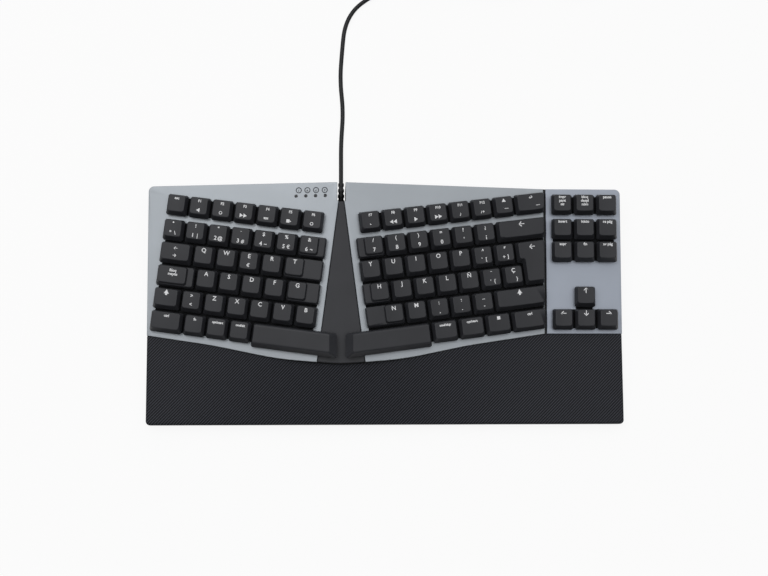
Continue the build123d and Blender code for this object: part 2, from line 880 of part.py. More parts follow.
def under_board(side, reach, drop):
    """Point of the ribbon's section at a distance from the split line, below a board's underside."""
    plane = half_plane(side, board_bottom - drop)
    x = at(reach, side)
    y = ribbon_plane.origin.Y
    local = ribbon_plane.to_local_coords(Vector(x, y, height_on(plane, x, y)))
    return (local.X, local.Y)


with BuildPart() as ribbon_cable:
    with BuildSketch(ribbon_plane):
        with BuildLine():
            Polyline(
                under_board(-1, ribbon_reach, 0),
                under_board(-1, ribbon_reach, ribbon_thickness),
                under_board(-1, ribbon_bend_reach, ribbon_thickness),
                under_board(1, ribbon_bend_reach, ribbon_thickness),
                under_board(1, ribbon_reach, ribbon_thickness),
                under_board(1, ribbon_reach, 0),
                under_board(1, ribbon_bend_reach, 0),
                under_board(-1, ribbon_bend_reach, 0),
                close=True,
            )
        make_face()
    extrude(amount=-ribbon_width)
save(ribbon_cable.part, "ribbon_cable")

# Bottom case: an open tray with ribs where the decks meet, cut off along the undersides of what it carries.
with BuildSketch() as case_inside:
    add(inset(body_area.sketch, wall))


def pocket(zone):
    """The open space of one zone: a full wall at the outside and half a rib at its neighbours."""
    with BuildSketch() as space:
        add(inset(zone, wall / 2))
        add(case_inside.sketch, mode=Mode.INTERSECT)
    return space.sketch


covers = (
    (left_zone, half_plane(-1, -deck_thickness)),
    (right_zone, half_plane(1, -deck_thickness)),
    (nav_zone, nav_plane(-deck_thickness)),
    (panel_zone.sketch, panel_plane(-panel_recess - panel_thickness)),
    (palm_zone.sketch, Plane.XY.offset(parting_height)),
)
rib_places = {
    "left": [at(reach, -1) for reach in rib_reaches],
    "right": [at(reach, 1) for reach in rib_reaches],
    "nav": [at(nav_left + key_pitch, 1), at(nav_left + 2 * key_pitch, 1)],
}
foot_y = rear_y - foot_from_rear
foot_places = [(at(left_foot_reach, -1), foot_y), (at(right_foot_reach, 1), foot_y)]
well_length = foot_length + 2 * foot_clearance
well_width = foot_width + 2 * foot_clearance
axle_inset = foot_barrel_radius + foot_clearance
axle_height = pad_height + foot_clearance + foot_barrel_radius
well_top = axle_height + foot_barrel_radius + foot_clearance


def well_area(margin):
    """Plan of both foot wells: each runs forwards from its hinge."""
    with BuildSketch() as area:
        for x, y in foot_places:
            with Locations((x, y + axle_inset - well_length / 2)):
                Rectangle(well_width + 2 * margin, well_length + 2 * margin)
    return area.sketch


with BuildPart() as bottom_case:
    add(slab(body_area.sketch, Plane.XY, tall, pad_height))
    for zone, plane in covers:
        add(above(zone, plane), mode=Mode.SUBTRACT)
    for zone, plane in covers:
        add(slab(pocket(zone), Plane.XY, tall, floor_top), mode=Mode.SUBTRACT)
    for field, plane in fields:
        with BuildSketch(mode=Mode.PRIVATE) as rib_area:
            with Locations(*[(x, 0) for x in rib_places[field]]):
                Rectangle(rib_thickness, 2 * body_depth)
            add(pocket(case_zones[field]), mode=Mode.INTERSECT)
        rib_feet = rib_area.sketch.moved(Location((0, 0, floor_top)))
        add(slab(rib_feet, plane, board_bottom, -tall))
    with BuildSketch(mode=Mode.PRIVATE) as ribbon_slot:
        with Locations((split_x, ribbon_plane.origin.Y + ribbon_width / 2)):
            Rectangle(2 * ribbon_reach, ribbon_width + 2 * ribbon_clearance)
    add(above(ribbon_slot.sketch, panel_plane(-ribbon_slot_depth)), mode=Mode.SUBTRACT)
    with BuildSketch(Plane.XY.offset(pad_height)):
        with Locations(*all_posts):
            Circle(boss_radius)
    extrude(amount=post_foot - pad_height)
    add(slab(well_area(well_wall), Plane.XY, well_top + well_wall, pad_height))
    add(slab(well_area(0), Plane.XY, well_top, 0), mode=Mode.SUBTRACT)
    for x, y in foot_places:
        with BuildSketch(Plane.YZ.offset(x)):
            with Locations((y, axle_height)):
                Circle(foot_pin_radius + foot_pin_fit)
        extrude(amount=well_width / 2 + foot_pin_length, both=True, mode=Mode.SUBTRACT)
    with BuildSketch():
        with Locations(*all_posts):
            Circle(screw_head_radius + screw_fit)
    extrude(amount=seat_height, mode=Mode.SUBTRACT)
    with BuildSketch():
        with Locations(*all_posts):
            Circle(screw_radius + screw_fit)
    extrude(amount=post_foot, mode=Mode.SUBTRACT)
save(bottom_case.part, "bottom_case")


# Flip-out feet: a leaf on a barrel whose pins turn in the well's side walls.
def make_foot(x, y):
    leaf_length = foot_length - foot_barrel_radius
    leaf_height = axle_height - foot_barrel_radius + foot_thickness / 2
    with BuildPart() as foot:
        with BuildSketch(Plane.YZ.offset(x)):
            with Locations((y, axle_height)):
                Circle(foot_barrel_radius)
            with Locations((y - leaf_length / 2, leaf_height)):
                Rectangle(leaf_length, foot_thickness)
        extrude(amount=foot_width / 2, both=True)
        with BuildSketch(Plane.YZ.offset(x)):
            with Locations((y, axle_height)):
                Circle(foot_pin_radius)
        extrude(amount=well_width / 2 + foot_pin_length - foot_clearance, both=True)
    return foot.part


for name, (x, y) in zip(("left_foot", "right_foot"), foot_places):
    save(make_foot(x, y), name)

# Rubber pads under the floor's corners and middle.
pad_reach_x = (left_reach + right_reach) / 2 - pad_inset - pad_length / 2
pad_front = front_y + pad_inset
pad_rear = rear_y - pad_rear_inset
pad_columns = (-pad_reach_x, 0, pad_reach_x)
with BuildPart() as rubber_pads:
    with BuildSketch():
        with Locations(*[(x, y) for y in (pad_front, pad_rear) for x in pad_columns]):
            SlotOverall(pad_length, pad_width)
    extrude(amount=pad_height)
save(rubber_pads.part, "rubber_pads")

# Case screws, from under the floor into the posts.
with BuildPart() as case_screws:
    with BuildSketch(Plane.XY.offset(seat_height - screw_head_height)):
        with Locations(*all_posts):
            Circle(screw_head_radius)
    extrude(amount=screw_head_height)
    with BuildSketch(Plane.XY.offset(seat_height)):
        with Locations(*all_posts):
            Circle(screw_radius)
    extrude(amount=screw_length)
save(case_screws.part, "case_screws")

# Strain relief: a grooved cone out of the case's wall at the bottom of the notch.
with BuildPart() as strain_relief:
    with BuildSketch(Plane.YZ.offset(split_x)):
        with BuildLine():
            points = [(notch_y, cable_exit_height), (notch_y, cable_exit_height + relief_root_radius)]
            ring = relief_length / (2 * relief_rings + 1)
            taper = (relief_root_radius - relief_tip_radius) / relief_length
            for i in range(relief_rings):
                start = ring * (2 * i + 1)
                for along in (start, start + ring):
                    edge = cable_exit_height + relief_root_radius - taper * along
                    step = [edge, edge - relief_groove]
                    points += [(notch_y + along, z) for z in (step if along == start else step[::-1])]
            points += [(notch_y + relief_length, cable_exit_height + relief_tip_radius)]
            points += [(notch_y + relief_length, cable_exit_height)]
            Polyline(*points, close=True)
        make_face()
    revolve(axis=Axis((split_x, 0, cable_exit_height), (0, 1, 0)))
save(strain_relief.part, "strain_relief")


def corner_radii(points):
    """Radius of each corner: 0.45 of the shorter run over the tangent of half the turn."""
    radii = []
    for before, corner, after in zip(points, points[1:], points[2:]):
        run_in = Vector(corner) - Vector(before)
        run_out = Vector(after) - Vector(corner)
        half_turn = math.radians(run_in.get_angle(run_out) / 2)
        radii.append(0.45 * min(run_in.length, run_out.length) / math.tan(half_turn))
    return radii


def cable_tube(points, radii, name):
    """A tube of the cable's section along straight runs joined by tangent arcs."""
    start_direction = Vector(points[1]) - Vector(points[0])
    with BuildPart() as tube:
        with BuildLine() as route:
            FilletPolyline(*points, radius=radii)
        with BuildSketch(Plane(origin=points[0], x_dir=(0, 0, 1), z_dir=start_direction)):
            RegularPolygon(cable_diameter / 2, cable_sides, rotation=180 / cable_sides)
        sweep()
    length = sum(edge.length for edge in route.edges())
    section = cable_sides / 2 * (cable_diameter / 2) ** 2 * math.sin(2 * math.pi / cable_sides)
    print(name, "length", round(length, 1), "radii", [round(radius) for radius in radii])
    print(name, "volume over section times length", round(tube.part.volume / (section * length), 4))
    return tube.part, route.wires()[0]


cable_rest = cable_diameter / 2
cable_apothem = cable_rest * math.cos(math.pi / cable_sides)
lead_start = notch_y + relief_length
hank_x = at(hank_reach, 1)
hank_y = rear_y + hank_from_rear
hank_level = tie_thickness + tie_clearance + cable_apothem
hank_top_level = hank_level + hank_layer_step
hank_entry_x = hank_x - hank_run_length / 2 - hank_start_length
hank_entry_y = hank_y - hank_fold_radius

lead_points = [
    (split_x, lead_start, cable_exit_height),
    (split_x, lead_start + 15, cable_exit_height),
    (split_x, lead_start + 37, cable_rest),
    (split_x + 2, lead_start + 65, cable_rest),
    (split_x - 1, lead_start + 93, cable_rest),
    (split_x + 1, lead_start + 121, cable_rest),
    (split_x + 3, hank_entry_y - 35, cable_rest),
    (split_x + 11, hank_entry_y - 19, cable_rest),
    (hank_entry_x - 30, hank_entry_y - 8, cable_rest),
    (hank_entry_x - 15, hank_entry_y, hank_level),
    (hank_entry_x, hank_entry_y, hank_level),
]
lead, lead_route = cable_tube(lead_points, corner_radii(lead_points), "cable_lead")
save(lead, "cable_lead")

# Hank: runs joined by half-turn folds, spiralling in, climbing a layer on the innermost run, then out again.
last_run = 2 * (hank_runs - 1)
hank_points = [(hank_entry_x, hank_entry_y, hank_level)]


def run_line(run):
    """Side, half-width at the folds and half-width at the waist of one run."""
    turn = min(run, last_run - run)
    half_width = hank_fold_radius - turn * hank_step / 2
    waist = hank_fold_radius - hank_draw - turn * hank_waist_step / 2
    return (-1 if run % 2 == 0 else 1), half_width, waist


for run in range(last_run + 1):
    side, half_width, waist = run_line(run)
    heading = 1 if run % 2 == 0 else -1
    before = hank_level if run < hank_runs else hank_top_level
    after = hank_level if run < hank_runs - 1 else hank_top_level
    if run == 0:
        hank_points.append((hank_x - hank_run_length / 2, hank_entry_y, hank_level))
    hank_points.append((hank_x, hank_y + side * waist, (before + after) / 2))
    if run == last_run:
        hank_points.append((hank_x + hank_run_length / 2, hank_entry_y, hank_top_level))
        hank_points.append((hank_x + hank_run_length / 2 + hank_start_length, hank_entry_y, hank_top_level))
    else:
        next_side, next_half_width, _ = run_line(run + 1)
        fold_x = hank_x + heading * (hank_run_length + half_width + next_half_width) / 2
        hank_points.append((fold_x, hank_y + side * half_width, after))
        hank_points.append((fold_x, hank_y + next_side * next_half_width, after))

hank_radii = corner_radii(hank_points)
for i, point in enumerate(hank_points[1:-1]):
    fold_edge = [other for other in (hank_points[i], hank_points[i + 2]) if abs(other[0] - point[0]) < 1]
    if fold_edge:
        run_in = Vector(point) - Vector(hank_points[i])
        run_out = Vector(hank_points[i + 2]) - Vector(point)
        half_turn = math.radians(run_in.get_angle(run_out) / 2)
        hank_radii[i] = 0.495 * math.dist(point, fold_edge[0]) / math.tan(half_turn)
hank, hank_route = cable_tube(hank_points, hank_radii, "cable_hank")
save(hank, "cable_hank")

hank_spots = [hank_route.position_at(i / hank_samples) for i in range(hank_samples + 1)]
apart = int(5 * cable_diameter * hank_samples / hank_route.length)
least = min(
    (spot - other).length
    for i, spot in enumerate(hank_spots)
    for other in hank_spots[i + apart:]
)
print("hank least gap to itself", round(least - cable_diameter, 2))

# Tail: from the hank's top layer down to the plug on the desk.
plug_level = plug_body_height / 2
tail_x = hank_x + hank_run_length / 2 + hank_start_length
tail_points = [
    (tail_x, hank_entry_y, hank_top_level),
    (tail_x + 13, hank_entry_y, hank_top_level),
    (tail_x + 31, hank_entry_y + 6, plug_level),
    (tail_x + 44, hank_entry_y + 6, plug_level),
]
tail, tail_route = cable_tube(tail_points, corner_radii(tail_points), "cable_tail")
save(tail, "cable_tail")
print("cord length", round(lead_route.length + hank_route.length + tail_route.length))

# Tie: a band round the hank's waist.
tie_inner_height = hank_layer_step + 2 * cable_apothem + 2 * tie_clearance
waist_slope = hank_draw / (hank_run_length / 2)
tie_half_width = hank_fold_radius - hank_draw + cable_rest + tie_width / 2 * waist_slope + tie_clearance
with BuildPart() as cable_tie:
    with BuildSketch(Plane.YZ.offset(hank_x)):
        with Locations((hank_y, tie_inner_height / 2 + tie_thickness)):
            RectangleRounded(
                2 * (tie_half_width + tie_thickness),
                tie_inner_height + 2 * tie_thickness,
                tie_corner,
            )
            RectangleRounded(
                2 * tie_half_width,
                tie_inner_height,
                tie_corner - tie_thickness,
                mode=Mode.SUBTRACT,
            )
    extrude(amount=tie_width / 2, both=True)
save(cable_tie.part, "cable_tie")

# Plug: a moulded grip with its neck and tongue, and a folded shell round the tongue.
neck_x, plug_y = tail_points[-1][:2]
tongue_height = plug_shell_height / 2 - plug_shell_wall - plug_tongue_gap - plug_tongue_height / 2
grip_x = neck_x + plug_neck_length
shell_x = grip_x + plug_body_length
with BuildPart() as usb_plug_body:
    with BuildSketch(Plane(origin=(neck_x, plug_y, plug_level), z_dir=(1, 0, 0))):
        Circle(plug_neck_radius)
    extrude(amount=plug_neck_length)
    with BuildSketch(Plane(origin=(grip_x, plug_y, plug_level), x_dir=(0, 1, 0), z_dir=(1, 0, 0))):
        RectangleRounded(plug_body_width, plug_body_height, plug_corner)
    extrude(amount=plug_body_length)
    with BuildSketch(Plane(origin=(shell_x, plug_y, plug_level), x_dir=(0, 1, 0), z_dir=(1, 0, 0))):
        with Locations((0, tongue_height)):
            Rectangle(plug_shell_width - 2 * (plug_shell_wall + plug_tongue_gap), plug_tongue_height)
    extrude(amount=plug_shell_length - plug_tongue_gap)
save(usb_plug_body.part, "usb_plug_body")

with BuildPart() as usb_plug_shell:
    with BuildSketch(Plane(origin=(shell_x, plug_y, plug_level), x_dir=(0, 1, 0), z_dir=(1, 0, 0))):
        Rectangle(plug_shell_width, plug_shell_height)
        Rectangle(
            plug_shell_width - 2 * plug_shell_wall,
            plug_shell_height - 2 * plug_shell_wall,
            mode=Mode.SUBTRACT,
        )
    extrude(amount=plug_shell_length)
save(usb_plug_shell.part, "usb_plug_shell")
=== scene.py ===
"""Dresses the split ergonomic keyboard: finishes, legends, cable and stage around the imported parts."""

import json
import math

import bmesh
import bpy
from mathutils import Matrix, Vector
from mathutils.bvhtree import BVHTree


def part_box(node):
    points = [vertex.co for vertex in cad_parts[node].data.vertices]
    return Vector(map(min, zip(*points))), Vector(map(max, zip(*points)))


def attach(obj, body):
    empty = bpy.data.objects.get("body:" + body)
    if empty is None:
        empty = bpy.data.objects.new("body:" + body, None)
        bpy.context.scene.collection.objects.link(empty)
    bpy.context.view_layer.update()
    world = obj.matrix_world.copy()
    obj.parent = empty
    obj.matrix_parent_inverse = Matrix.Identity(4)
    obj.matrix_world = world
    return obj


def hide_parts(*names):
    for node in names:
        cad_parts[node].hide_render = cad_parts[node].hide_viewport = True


bl_info = {
    "name": "Split Ergonomic Keyboard",
    "version": (1, 0, 0),
    "blender": (4, 5, 0),
    "location": "View3D > Sidebar > Keyboard",
    "description": "Builds the looks of a tented split keyboard around its packed parts",
    "category": "Object",
}

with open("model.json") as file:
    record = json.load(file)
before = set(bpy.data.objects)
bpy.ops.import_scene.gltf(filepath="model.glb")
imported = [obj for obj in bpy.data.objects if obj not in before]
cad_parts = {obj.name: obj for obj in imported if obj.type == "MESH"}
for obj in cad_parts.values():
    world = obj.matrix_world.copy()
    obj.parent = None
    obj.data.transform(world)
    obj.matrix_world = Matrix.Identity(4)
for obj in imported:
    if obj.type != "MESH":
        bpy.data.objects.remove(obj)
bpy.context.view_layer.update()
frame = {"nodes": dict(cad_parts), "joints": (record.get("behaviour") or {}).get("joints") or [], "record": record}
MM = 0.001
SPLIT_X = -38.25 * MM  # middle of the wedge between the halves
KEY_PITCH = 19.05 * MM
CAP_GAP = 1.45 * MM  # between the feet of neighbouring caps

# Meshes: merging, rounding and shading
SEAM = 1e-6
FLAT_ANGLE = math.radians(0.1)
LONG_EDGE = 5 * MM  # edges longer than this are rounded only where there is room
SHARP_RIDGE = math.radians(52)
SHARP_VALLEY = math.radians(16)
CAP_RIDGE, PLATE_RIDGE, PLUG_RIDGE = 24, 40, 30  # edges sharper than this many degrees are rounded

# Rows of caps and the painted shade on the decks under them
RIM_DEPTH = 0.7 * MM  # how far below a cap's highest point its rim reaches
ROW_STEP = 8 * MM  # caps further apart than this, front to rear, are in different rows
FIELD_INSET = 1.6 * MM  # how far the painted shade stays inside a row's outline
ROW_TOLERANCE = 1.5 * MM
FACING = 0.999  # cosine above which a face belongs to a deck's top
LEVEL_LEAN = 0.01  # a deck whose normal leans less than this is the navigation deck
CUT_TOLERANCE = 1e-7
PRINT_DROP = 5 * MM  # height from which marks are dropped onto a surface


# Sizes and colours that a user would change


def size_setting(name, description, default):
    return bpy.props.FloatProperty(name=name, description=description, default=default, unit="LENGTH")


def colour_setting(name, description, default):
    return bpy.props.StringProperty(name=name, description=description, default=default)


class KeyboardSizes(bpy.types.PropertyGroup):
    cap_edge: size_setting("Cap edge", "Rounding of the keycaps' edges", 0.0004)
    deck_edge: size_setting("Deck edge", "Rounding of the metal decks' edges", 0.0005)
    case_edge: size_setting("Case edge", "Rounding of the case's edges", 0.0005)
    plug_edge: size_setting("Plug edge", "Rounding of the plug grip's edges", 0.0006)
    letter_size: size_setting("Letter size", "Font size of the letters on the caps", 0.0048)
    legend_thickness: size_setting("Legend thickness", "Thickness of the printed legends", 0.00004)
    legend_weight: size_setting("Legend weight", "How far the legends' strokes are thickened", 0.0001)
    plan_turn: bpy.props.FloatProperty(
        name="Plan turn",
        description="Turn of each key half seen from above",
        default=math.radians(8.1),
        subtype="ANGLE",
    )
    cable_diameter: size_setting("Cable diameter", "Outer diameter of the cable", 0.0037)
    hatch_pitch: size_setting("Hatch pitch", "Distance between the palm rest's diagonal ribs", 0.0018)


class KeyboardColours(bpy.types.PropertyGroup):
    deck: colour_setting("Deck", "Silver paint of the decks", "#A8AEB4")
    nav_deck: colour_setting("Navigation deck", "Silver paint of the navigation deck", "#A0A7B3")
    cap: colour_setting("Caps", "Keycap plastic", "#313236")
    deck_ink: colour_setting("Deck ink", "Marks beside the indicators", "#3C4046")
    legend: colour_setting("Legends", "Printed legends", "#F4F5F7")
    palm: colour_setting("Palm rest", "Palm rest plastic", "#1D1E22")
    panel: colour_setting("Centre panel", "Plastic in the wedge", "#35363A")
    case: colour_setting("Case", "Case plastic", "#151618")
    cable: colour_setting("Cable", "Cable jacket", "#1B1C1E")
    board: colour_setting("Board", "Circuit board", "#1F4A33")
    lens: colour_setting("Lenses", "Smoky acrylic of the indicators", "#2A2C30")
    steel: colour_setting("Steel", "Screws and plug shell", "#C4C6C9")
    floor: colour_setting("Floor", "Floor under the keyboard", "#F2F2F2")


# Materials


def linear(hex_text):
    """A hex colour in sRGB as linear RGBA."""
    channels = [int(hex_text[i : i + 2], 16) / 255 for i in (1, 3, 5)]
    return [c / 12.92 if c <= 0.04045 else ((c + 0.055) / 1.055) ** 2.4 for c in channels] + [1.0]


def add_node(tree, kind, settings=None, inputs=None):
    """Adds one node, with its attributes, and its inputs as values or as the sockets linked to them."""
    node = tree.nodes.new(kind)
    for key, value in (settings or {}).items():
        setattr(node, key, value)
    for key, value in (inputs or {}).items():
        if isinstance(value, bpy.types.NodeSocket):
            tree.links.new(value, node.inputs[key])
        else:
            node.inputs[key].default_value = value
    return node


def new_material(name):
    """A material with an empty tree, its output, and the coordinates of the piece that carries it."""
    material = bpy.data.materials.new(name)
    material.use_nodes = True
    tree = material.node_tree
    tree.nodes.clear()
    output = add_node(tree, "ShaderNodeOutputMaterial")
    position = add_node(tree, "ShaderNodeTexCoord").outputs["Object"]
    return material, tree, output, position


def noise(tree, position, scale, detail=2.0):
    """The level of a noise pattern, whose scale counts features per metre."""
    inputs = {"Vector": position, "Scale": scale, "Detail": detail}
    return add_node(tree, "ShaderNodeTexNoise", inputs=inputs).outputs["Fac"]


def tinted(tree, level, colour, shares, places=(0.0, 1.0)):
    """A colour times one share up to the first place on a level, and times the other from the second."""
    ramp = add_node(tree, "ShaderNodeValToRGB", inputs={"Fac": level})
    for element, share, place in zip(ramp.color_ramp.elements, shares, places):
        element.color = [min(1.0, c * share) for c in linear(colour)[:3]] + [1.0]
        element.position = place
    return ramp.outputs["Color"]


def bumped(tree, height, strength, depth):
    """A normal that follows a height pattern."""
    inputs = {"Height": height, "Strength": strength, "Distance": depth}
    return add_node(tree, "ShaderNodeBump", inputs=inputs).outputs["Normal"]


def ranged(tree, level, low, high):
    """A level spread over a range."""
    inputs = {"Value": level, "To Min": low, "To Max": high}
    return add_node(tree, "ShaderNodeMapRange", inputs=inputs).outputs["Result"]


def maths(tree, operation, *values):
    """The result of one sum on values or sockets."""
    return add_node(tree, "ShaderNodeMath", {"operation": operation}, dict(enumerate(values))).outputs[0]


def with_surface(material, tree, output, inputs):
    """The material, its surface set by a principled shader's inputs."""
    shader = add_node(tree, "ShaderNodeBsdfPrincipled", inputs=inputs)
    tree.links.new(shader.outputs["BSDF"], output.inputs["Surface"])
    return material


def moulded_plastic(name, colour, roughness, grain_mm, bump, gloss=0.3):
    """Moulded ABS with a fine spark-eroded grain: a soft, broad highlight that breaks up a little."""
    material, tree, output, position = new_material(name)
    grain = noise(tree, position, 1 / (grain_mm * MM))
    cloud = noise(tree, position, 40.0, 3.0)
    inputs = {
        "Base Color": tinted(tree, cloud, colour, (0.94, 1.06), (0.35, 0.65)),
        "Roughness": ranged(tree, grain, roughness - 0.05, roughness + 0.05),
        "Normal": bumped(tree, grain, bump, 0.05 * MM),
        "Specular IOR Level": gloss,
    }
    return with_surface(material, tree, output, inputs)


def metallic_paint(name, colour):
    """Silver paint over sheet metal: fine flake, a satin sheen and faint unevenness from spraying."""
    material, tree, output, position = new_material(name)
    flake = noise(tree, position, 1 / (0.35 * MM), 1.0)
    spray = noise(tree, position, 25.0, 3.0)
    inputs = {
        "Base Color": tinted(tree, spray, colour, (0.96, 1.04), (0.3, 0.7)),
        "Metallic": 0.35,
        "Roughness": 0.42,
        "Normal": bumped(tree, flake, 0.12, 0.03 * MM),
    }
    return with_surface(material, tree, output, inputs)


def hatched_plastic(name, colour, pitch):
    """Rubber-touch moulding with fine diagonal ribs, their crests painted much lighter as thin lines of painted
    highlight.
    """
    material, tree, output, position = new_material(name)
    turned = add_node(
        tree, "ShaderNodeMapping", inputs={"Vector": position, "Rotation": (0, 0, math.radians(45))}
    )
    axes = add_node(tree, "ShaderNodeSeparateXYZ", inputs={"Vector": turned.outputs["Vector"]})
    rib = maths(tree, "SINE", maths(tree, "MULTIPLY", axes.outputs["X"], 2 * math.pi / pitch))
    height = maths(tree, "MULTIPLY_ADD", noise(tree, position, 1 / (0.6 * MM)), 0.5, rib)
    painted_rib_highlight = add_node(tree, "ShaderNodeMapRange", inputs={"Value": rib, "From Min": -1.0}).outputs["Result"]
    inputs = {
        # Painted highlight: the ribs' crests are coloured up to five times lighter than the rest, while the ribs'
        # shape itself comes from the bump.
        "Base Color": tinted(tree, painted_rib_highlight, colour, (0.7, 5.0), (0.6, 0.97)),
        "Roughness": 0.55,
        "Normal": bumped(tree, height, 0.5, 0.09 * MM),
        "Specular IOR Level": 0.15,
    }
    return with_surface(material, tree, output, inputs)


def brushed_metal(name, colour):
    """Plated steel, lightly brushed: bright with a soft streak."""
    material, tree, output, position = new_material(name)
    stretched = add_node(tree, "ShaderNodeMapping", inputs={"Vector": position, "Scale": (1.0, 12.0, 12.0)})
    streak = noise(tree, stretched.outputs["Vector"], 400.0)
    inputs = {"Base Color": linear(colour), "Metallic": 1.0, "Roughness": ranged(tree, streak, 0.22, 0.4)}
    return with_surface(material, tree, output, inputs)


def printed_ink(name, colour):
    """Pad-printed ink: matt, slightly uneven in density."""
    material, tree, output, position = new_material(name)
    density = noise(tree, position, 1 / (0.4 * MM))
    inputs = {"Base Color": tinted(tree, density, colour, (0.85, 1.0)), "Roughness": 0.6}
    return with_surface(material, tree, output, inputs)


def clear_lens(name, colour):
    """Clear moulded acrylic over an unlit indicator: smooth, slightly smoky."""
    material, tree, output, position = new_material(name)
    inputs = {
        "Base Color": linear(colour),
        "Roughness": ranged(tree, noise(tree, position, 900.0), 0.08, 0.16),
        "Transmission Weight": 0.35,
        "IOR": 1.49,
    }
    return with_surface(material, tree, output, inputs)


# Mesh helpers


def link(obj):
    bpy.context.scene.collection.objects.link(obj)
    return obj


def merged_copy(node):
    """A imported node's mesh, its triangles joined at their seams."""
    shape = bmesh.new()
    shape.from_mesh(frame["nodes"][node].data)
    bmesh.ops.remove_doubles(shape, verts=shape.verts, dist=SEAM)
    return shape


def ridges(shape, angle):
    """The outward edges that are sharper than an angle in degrees."""
    limit = math.radians(angle)
    return [e for e in shape.edges if e.is_manifold and e.is_convex and e.calc_face_angle() > limit]


def has_room(edge, width):
    """True where both faces beside an edge are wide enough, all along it, to be rounded."""
    start, end = (vert.co for vert in edge.verts)
    for face in edge.link_faces:
        inward = face.normal.cross(end - start).normalized()
        if (face.calc_center_median() - start).dot(inward) < 0:
            inward = -inward
        for share in (0.25, 0.5, 0.75):
            if not bmesh.geometry.intersect_face_point(face, start.lerp(end, share) + inward * width):
                return False
    return True


def outer_ridges(edges):
    """The connected group of edges that reaches furthest: a plate's outline, without its holes."""
    near = {}
    for edge in edges:
        for vert in edge.verts:
            near.setdefault(vert, []).append(edge)
    groups, seen = [], set()
    for edge in edges:
        if edge in seen:
            continue
        group, waiting = [], [edge]
        seen.add(edge)
        while waiting:
            current = waiting.pop()
            group.append(current)
            for vert in current.verts:
                for other in near[vert]:
                    if other not in seen:
                        seen.add(other)
                        waiting.append(other)
        groups.append(group)

    def spread(group):
        places = [vert.co for edge in group for vert in edge.verts]
        return max(p.x for p in places) - min(p.x for p in places)

    return max(groups, key=spread)


def rounded_piece(node, name, width, segments, angle, outline_only=False):
    """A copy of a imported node, its outward edges rounded by a width, or 0 for smooth shading alone."""
    shape = merged_copy(node)
    if not outline_only:
        bmesh.ops.dissolve_limit(shape, angle_limit=FLAT_ANGLE, verts=shape.verts, edges=shape.edges)
    edges = ridges(shape, angle)
    if outline_only:
        edges = outer_ridges(edges)
    else:
        tight = [e for e in edges if e.calc_length() > LONG_EDGE and not has_room(e, width)]
        edges = [e for e in edges if e not in tight]
    if width:
        bmesh.ops.bevel(
            shape,
            geom=edges,
            offset=width,
            offset_type="OFFSET",
            segments=segments,
            profile=0.5,
            affect="EDGES",
            material=-1,
        )
    bmesh.ops.triangulate(shape, faces=[face for face in shape.faces if len(face.verts) > 4])
    for face in shape.faces:
        face.smooth = True
    for edge in shape.edges:
        limit = SHARP_RIDGE if edge.is_convex else SHARP_VALLEY
        edge.smooth = edge.is_manifold and edge.calc_face_angle() < limit
    mesh = bpy.data.meshes.new(name)
    shape.to_mesh(mesh)
    shape.free()
    piece = link(bpy.data.objects.new(name, mesh))
    flats = piece.modifiers.new("flats", "WEIGHTED_NORMAL")
    flats.keep_sharp = True
    return piece


def body_of_node(node):
    """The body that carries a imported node."""
    for body, nodes in frame["record"]["behaviour"]["bodies"].items():
        if node in nodes:
            return body
    raise RuntimeError(f"no body holds {node}")


def dress(node, material, edge=None, segments=2, angle=CAP_RIDGE, outline_only=False):
    """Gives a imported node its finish. With an edge width, even 0, a smoothed copy takes its place."""
    if edge is None:
        solid = frame["nodes"][node]
        solid.data.materials.clear()
        solid.data.materials.append(material)
        return
    piece = rounded_piece(node, f"{node}_shell", edge, segments, angle, outline_only)
    piece.data.materials.clear()
    piece.data.materials.append(material)
    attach(piece, body_of_node(node))
    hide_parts(node)


# Key planes and legends


def joint_normal(node):
    """Direction out of the deck at a key, from its joint."""
    for joint in frame["joints"]:
        if joint["child"] == node:
            return -Vector(joint["axis"]).normalized()
    raise RuntimeError(f"no joint moves {node}")


def key_axes(node, turn):
    """Row direction, rearward direction and normal of the deck under a key."""
    normal = joint_normal(node)
    heading = 0.0 if node == "keys_navigation" else turn if normal.x > 0 else -turn
    across = Vector((math.cos(heading), math.sin(heading), 0))
    across.z = -(normal.x * across.x + normal.y * across.y) / normal.z
    across.normalize()
    return across, normal.cross(across), normal


def islands(mesh):
    """The separate solids of a mesh, as lists of vertex indices."""
    parent = list(range(len(mesh.vertices)))

    def root(i):
        while parent[i] != i:
            parent[i] = parent[parent[i]]
            i = parent[i]
        return i

    for edge in mesh.edges:
        a, b = (root(i) for i in edge.vertices)
        parent[a] = b
    groups = {}
    for i in range(len(mesh.vertices)):
        groups.setdefault(root(i), []).append(i)
    return list(groups.values())


# Each legend: text, place across and back from the cap's top centre in millimetres, and font size or None.
def letter(text):
    return [(text, 0.0, 3.8, None)]


def function_key(text, symbol):
    return [(text, 0.4, 3.9, 3.0), (symbol, -0.2, -3.8, 3.4)]


def number_key(upper, lower, extra=""):
    return [(upper, 0.0, 3.9, 4.1), (lower, -1.6 if extra else 0.0, -3.9, 4.6), (extra, 2.3, -3.9, 4.1)]


def word(text, size=3.1):
    return [(text, 0.0, 4.2, size)]


def words(*lines):
    return [(text, 0.0, 4.9 - 3.1 * i, 3.2) for i, text in enumerate(lines)]


def up_arrow(x=0.0):
    return [("▲", x, 4.3, 4.2), ("■", x, 2.4, 2.0)]


def symbol_pair(upper, lower, extra=""):
    return [(upper, 0.0, 3.7, 4.2), (lower, -1.4 if extra else 0.0, -3.4, 4.2), (extra, 2.1, -3.4, 3.8)]


